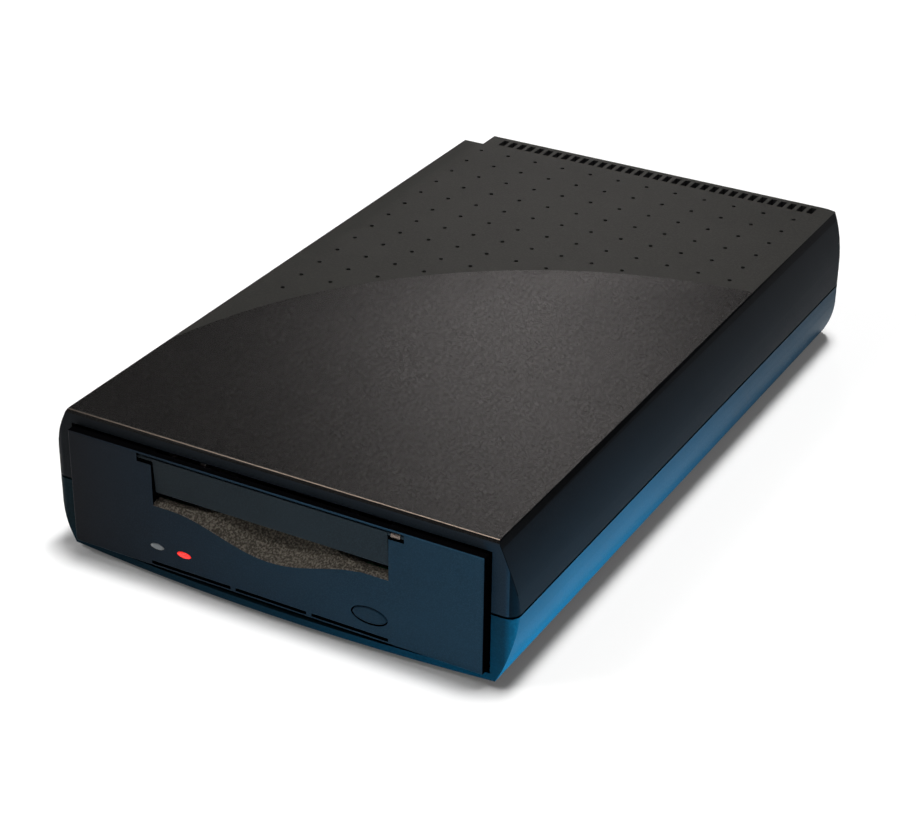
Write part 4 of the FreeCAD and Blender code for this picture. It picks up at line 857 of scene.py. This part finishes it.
class TAPE_OT_feet(bpy.types.Operator):
    """Rubber feet with rings moulded into their undersides"""
    bl_idname = "tape.feet"
    bl_label = "Rubber feet"

    def execute(self, context):
        rings = context.scene.tape_fasteners.foot_rings
        boxes = islands_of("rubber_feet")
        low, high = boxes[0]
        radius = (high.x - low.x) / 2
        tall = high.z - low.z
        groove, slope = 0.35 * MM, 0.12 * MM
        profile = [(0.0, groove)]
        for i in range(rings):
            inner = radius * (0.22 + 0.62 * i / rings)
            outer = radius * (0.22 + 0.62 * (i + 0.55) / rings)
            profile += [(inner, groove), (inner + slope, 0.0), (outer, 0.0), (outer + slope, groove)]
        profile += [(radius * 0.86, groove), (radius * 0.88, 0.0), (radius * 0.96, 0.0),
                    (radius, 0.4 * MM), (radius, tall), (0.0, tall)]
        work = bmesh.new()
        for low, high in boxes:
            centre = (low + high) / 2
            verts = [work.verts.new((centre.x + r, centre.y, low.z + z)) for r, z in profile]
            edges = [work.edges.new((a, b)) for a, b in zip(verts, verts[1:])]
            bmesh.ops.spin(work, geom=verts + edges, cent=(centre.x, centre.y, 0), axis=(0, 0, 1),
                           angle=2 * math.pi, steps=48, use_merge=True)
        bmesh.ops.remove_doubles(work, verts=work.verts, dist=0.001 * MM)
        bmesh.ops.recalc_face_normals(work, faces=work.faces)
        mesh = mesh_of(work, "ringed_feet")
        smooth(mesh, 40)
        feet = new_piece("ringed_feet", mesh)
        stand_for(feet, "rubber_feet", "case", "rubber", "rubber")
        return {"FINISHED"}


class TAPE_OT_rear(bpy.types.Operator):
    """Rear panel, fan, mains inlet, switch and data socket"""
    bl_idname = "tape.rear_face"
    bl_label = "Rear face"

    def execute(self, context):
        for node, name, body, slot, finish in (
                ("rear_panel", "rear_plate", "case", "panel_steel", "panel"),
                ("fan_frame", "fan_housing", "case", "inner_plastic", "moulding"),
                ("fan_rotor", "fan_impeller", "fan_rotor", "inner_plastic", "moulding"),
                ("power_inlet", "mains_inlet", "case", "inner_plastic", "moulding"),
                ("switch_frame", "switch_surround", "case", "inner_plastic", "moulding"),
                ("power_rocker", "switch_rocker", "power_rocker", "inner_plastic", "moulding"),
                ("usb_socket", "data_port", "case", "steel", "steel")):
            piece = clean_copy(node, name)
            stand_for(piece, node, body, slot, finish)
            soften(piece, 0.15 * MM)
        paint("nickel", "inlet_pins")
        return {"FINISHED"}


class TAPE_OT_mechanism(bpy.types.Operator):
    """Finishes of the tape mechanism inside"""
    bl_idname = "tape.mechanism"
    bl_label = "Mechanism"

    def execute(self, context):
        paint("steel", "drive_chassis", "drive_cover", "drive_brackets", "cassette_holder", "holder_guides",
              "reel_motors", "capstan_motor", "pinch_arm", "loading_slider", "loading_motor",
              "guide_arm_left", "guide_arm_right")
        paint("pale screw", "drive_screws")
        paint("moulding", "reel_table_supply", "reel_table_takeup")
        paint("nickel", "capstan", "guide_post_left", "guide_post_right")
        paint("aluminium", "drum_base", "drum_upper")
        paint("roller", "pinch_roller")
        paint("gear", "loading_gear", "loading_pinion")
        return {"FINISHED"}


class TAPE_OT_boards(bpy.types.Operator):
    """Finishes of the boards, the power supply and the cables"""
    bl_idname = "tape.boards"
    bl_label = "Boards"

    def execute(self, context):
        paint("board", "front_board", "controller_board", "interface_board", "power_board")
        paint("winding", "transformer")
        paint("can", "capacitors")
        paint("aluminium", "heat_sink")
        paint("header", "drive_connector", "power_connector")
        paint("cable", "data_ribbon", "power_lead")
        paint("moulding", "switch_plunger", "eject_switch")
        return {"FINISHED"}


# ---------------------------------------------------------------- stage
def floor_material():
    """Pale floor that reads as white where no shadow falls on it."""
    made = bpy.data.materials.new("white floor")
    made.use_nodes = True
    tree = made.node_tree
    tree.nodes.clear()
    path = tree.nodes.new("ShaderNodeLightPath").outputs
    seen = maths(tree, "MAXIMUM", path["Is Camera Ray"], path["Is Glossy Ray"])
    seen = maths(tree, "MAXIMUM", seen, path["Is Transmission Ray"])
    far = add_node(tree, "ShaderNodeVectorMath", operation="LENGTH", in0=object_place(tree))
    rise = ramp_between(tree, far.outputs["Value"], 0.22, 1.4, 0.08, 1.0)
    lift = add_node(tree, "ShaderNodeEmission", Color=(1.0, 1.0, 1.0, 1.0),
                    Strength=maths(tree, "MULTIPLY", seen, rise))
    diffuse = add_node(tree, "ShaderNodeBsdfDiffuse", Color=(0.9, 0.9, 0.9, 1.0))
    both = add_node(tree, "ShaderNodeAddShader", in0=diffuse.outputs[0], in1=lift.outputs[0])
    add_node(tree, "ShaderNodeOutputMaterial", Surface=both.outputs[0])
    return made


def studio_world(light_level):
    """White round the object where it is seen or mirrored, under a dim ceiling, and a low level as light."""
    world = bpy.data.worlds.new("studio")
    bpy.context.scene.world = world
    world.use_nodes = True
    tree = world.node_tree
    tree.nodes.clear()
    way = tree.nodes.new("ShaderNodeTexCoord")
    height = add_node(tree, "ShaderNodeSeparateXYZ", in0=way.outputs["Generated"])
    mirrored = ramp_between(tree, height.outputs["Z"], 0.0, 0.12, 1.0, light_level)
    path = tree.nodes.new("ShaderNodeLightPath").outputs
    glossy = maths(tree, "MAXIMUM", path["Is Glossy Ray"], path["Is Transmission Ray"])
    level = ramp_between(tree, glossy, 0.0, 1.0, light_level, mirrored)
    level = ramp_between(tree, path["Is Camera Ray"], 0.0, 1.0, level, 1.0)
    back = add_node(tree, "ShaderNodeBackground", Color=(1.0, 1.0, 1.0, 1.0), Strength=level)
    add_node(tree, "ShaderNodeOutputWorld", Surface=back.outputs[0])


def area_light(name, place, target, size, power, colour=(1.0, 1.0, 1.0)):
    """A rectangular lamp that looks at the target and stays out of the picture."""
    lamp = bpy.data.lights.new(name, "AREA")
    lamp.shape = "RECTANGLE"
    lamp.size, lamp.size_y = size
    lamp.energy = power
    lamp.color = colour
    holder = bpy.data.objects.new(name, lamp)
    bpy.context.scene.collection.objects.link(holder)
    holder.location = place
    aim = Vector(target) - Vector(place)
    holder.rotation_euler = aim.to_track_quat("-Z", "Y").to_euler()
    holder.visible_camera = False
    return holder


def blue_light(name, place, power, *pieces):
    """A low blue light beside the front that falls on the named pieces alone."""
    lamp = area_light(name, place, (0.0865, -0.08, 0.02), (0.12, 0.04), power, (0.0, 0.62, 1.0))
    lit = bpy.data.collections.new(name + " pieces")
    for piece in pieces:
        lit.objects.link(bpy.data.objects[piece])
    lamp.light_linking.receiver_collection = lit
    blockers = bpy.data.collections.new(name + " blockers")
    for piece in bpy.context.scene.objects:
        if piece.type == "MESH" and piece.name != "floor":
            blockers.objects.link(piece)
    lamp.light_linking.blocker_collection = blockers
    lamp.data.cycles.max_bounces = 0
    lamp.visible_glossy = False


def place_camera():
    """Camera high at the right of the front, with its axes as unit vectors and its lens in millimetres."""
    right = Vector((0.87023, 0.49260, 0.00747))
    up = Vector((-0.24167, 0.41362, 0.87779))
    back = Vector((0.42931, -0.76568, 0.47899))
    lens_data = bpy.data.cameras.new("camera")
    lens_data.lens = 89.2
    lens_data.sensor_width = 36.0
    lens_data.shift_x = 0.0207
    lens_data.shift_y = -0.0125
    lens_data.clip_start = 0.01
    camera = bpy.data.objects.new("camera", lens_data)
    bpy.context.scene.collection.objects.link(camera)
    turn = Matrix((right, up, back)).transposed().to_4x4()
    camera.matrix_world = Matrix.Translation((0.34447, -0.64475, 0.41306)) @ turn
    bpy.context.scene.camera = camera


class TAPE_OT_stage(bpy.types.Operator):
    """Pale floor, soft lights and the camera"""
    bl_idname = "tape.stage"
    bl_label = "Stage"

    def execute(self, context):
        looks = context.scene.tape_stage
        half = looks.floor_size / 2
        mesh = bpy.data.meshes.new("floor")
        mesh.from_pydata([(-half, -half, 0), (half, -half, 0), (half, half, 0), (-half, half, 0)], [],
                         [(0, 1, 2, 3)])
        mesh.materials.append(floor_material())
        floor = new_piece("floor", mesh)
        studio_world(looks.ceiling_level)
        area_light("key", (0.17, 0.15, 3.0), (0.0, 0.0, 0.0), (0.64, 0.64), looks.key_power)
        area_light("back", (-1.53, 3.15, 1.94), (0.0, 0.0, 0.05), (0.5, 0.5), looks.back_power,
                   (1.0, 0.94, 0.92))
        area_light("front", (-0.65, -0.72, 1.15), (0.0, -0.05, 0.03), (0.35, 0.35), looks.fill_power)
        blue_light("blue low", (0.17, -0.13, -0.10), looks.blue_power, "case_bottom")
        blue_light("blue high", (0.19, -0.13, -0.12), looks.blue_power * 0.5, "case_top")
        blue_light("blue lip", (0.16, -0.22, -0.12), looks.blue_power * 0.07, "case_bottom")
        place_camera()
        context.scene.view_settings.view_transform = "Standard"
        return {"FINISHED"}


class TAPE_PT_panel(bpy.types.Panel):
    """Lists the steps that dress the tape drive"""
    bl_idname = "TAPE_PT_panel"
    bl_label = "Tape Drive"
    bl_space_type = "VIEW_3D"
    bl_region_type = "UI"
    bl_category = "Tape Drive"

    def draw(self, context):
        scene = context.scene
        for looks in (scene.tape_case, scene.tape_front, scene.tape_fasteners, scene.tape_stage):
            box = self.layout.box()
            for name in type(looks).__annotations__:
                box.prop(looks, name)
        for operator in OPERATORS:
            self.layout.operator(operator.bl_idname)


OPERATORS = (TAPE_OT_case, TAPE_OT_front, TAPE_OT_spring, TAPE_OT_fasteners, TAPE_OT_feet, TAPE_OT_rear,
             TAPE_OT_mechanism, TAPE_OT_boards, TAPE_OT_stage)
GROUP_TYPES = {"tape_case": CaseLooks, "tape_front": FrontLooks, "tape_fasteners": FastenerLooks,
               "tape_stage": StageLooks}


def register():
    for kind in (*GROUP_TYPES.values(), *OPERATORS, TAPE_PT_panel):
        bpy.utils.register_class(kind)
    for name, kind in GROUP_TYPES.items():
        setattr(bpy.types.Scene, name, bpy.props.PointerProperty(type=kind))


def unregister():
    for name in GROUP_TYPES:
        delattr(bpy.types.Scene, name)
    for kind in (TAPE_PT_panel, *OPERATORS[::-1], *GROUP_TYPES.values()):
        bpy.utils.unregister_class(kind)


def main():
    register()
    bpy.ops.tape.case_shells()
    bpy.ops.tape.front_face()
    bpy.ops.tape.door_spring()
    bpy.ops.tape.fasteners()
    bpy.ops.tape.feet()
    bpy.ops.tape.rear_face()
    bpy.ops.tape.mechanism()
    bpy.ops.tape.boards()
    bpy.ops.tape.stage()


if __name__ == "__main__":
    main()
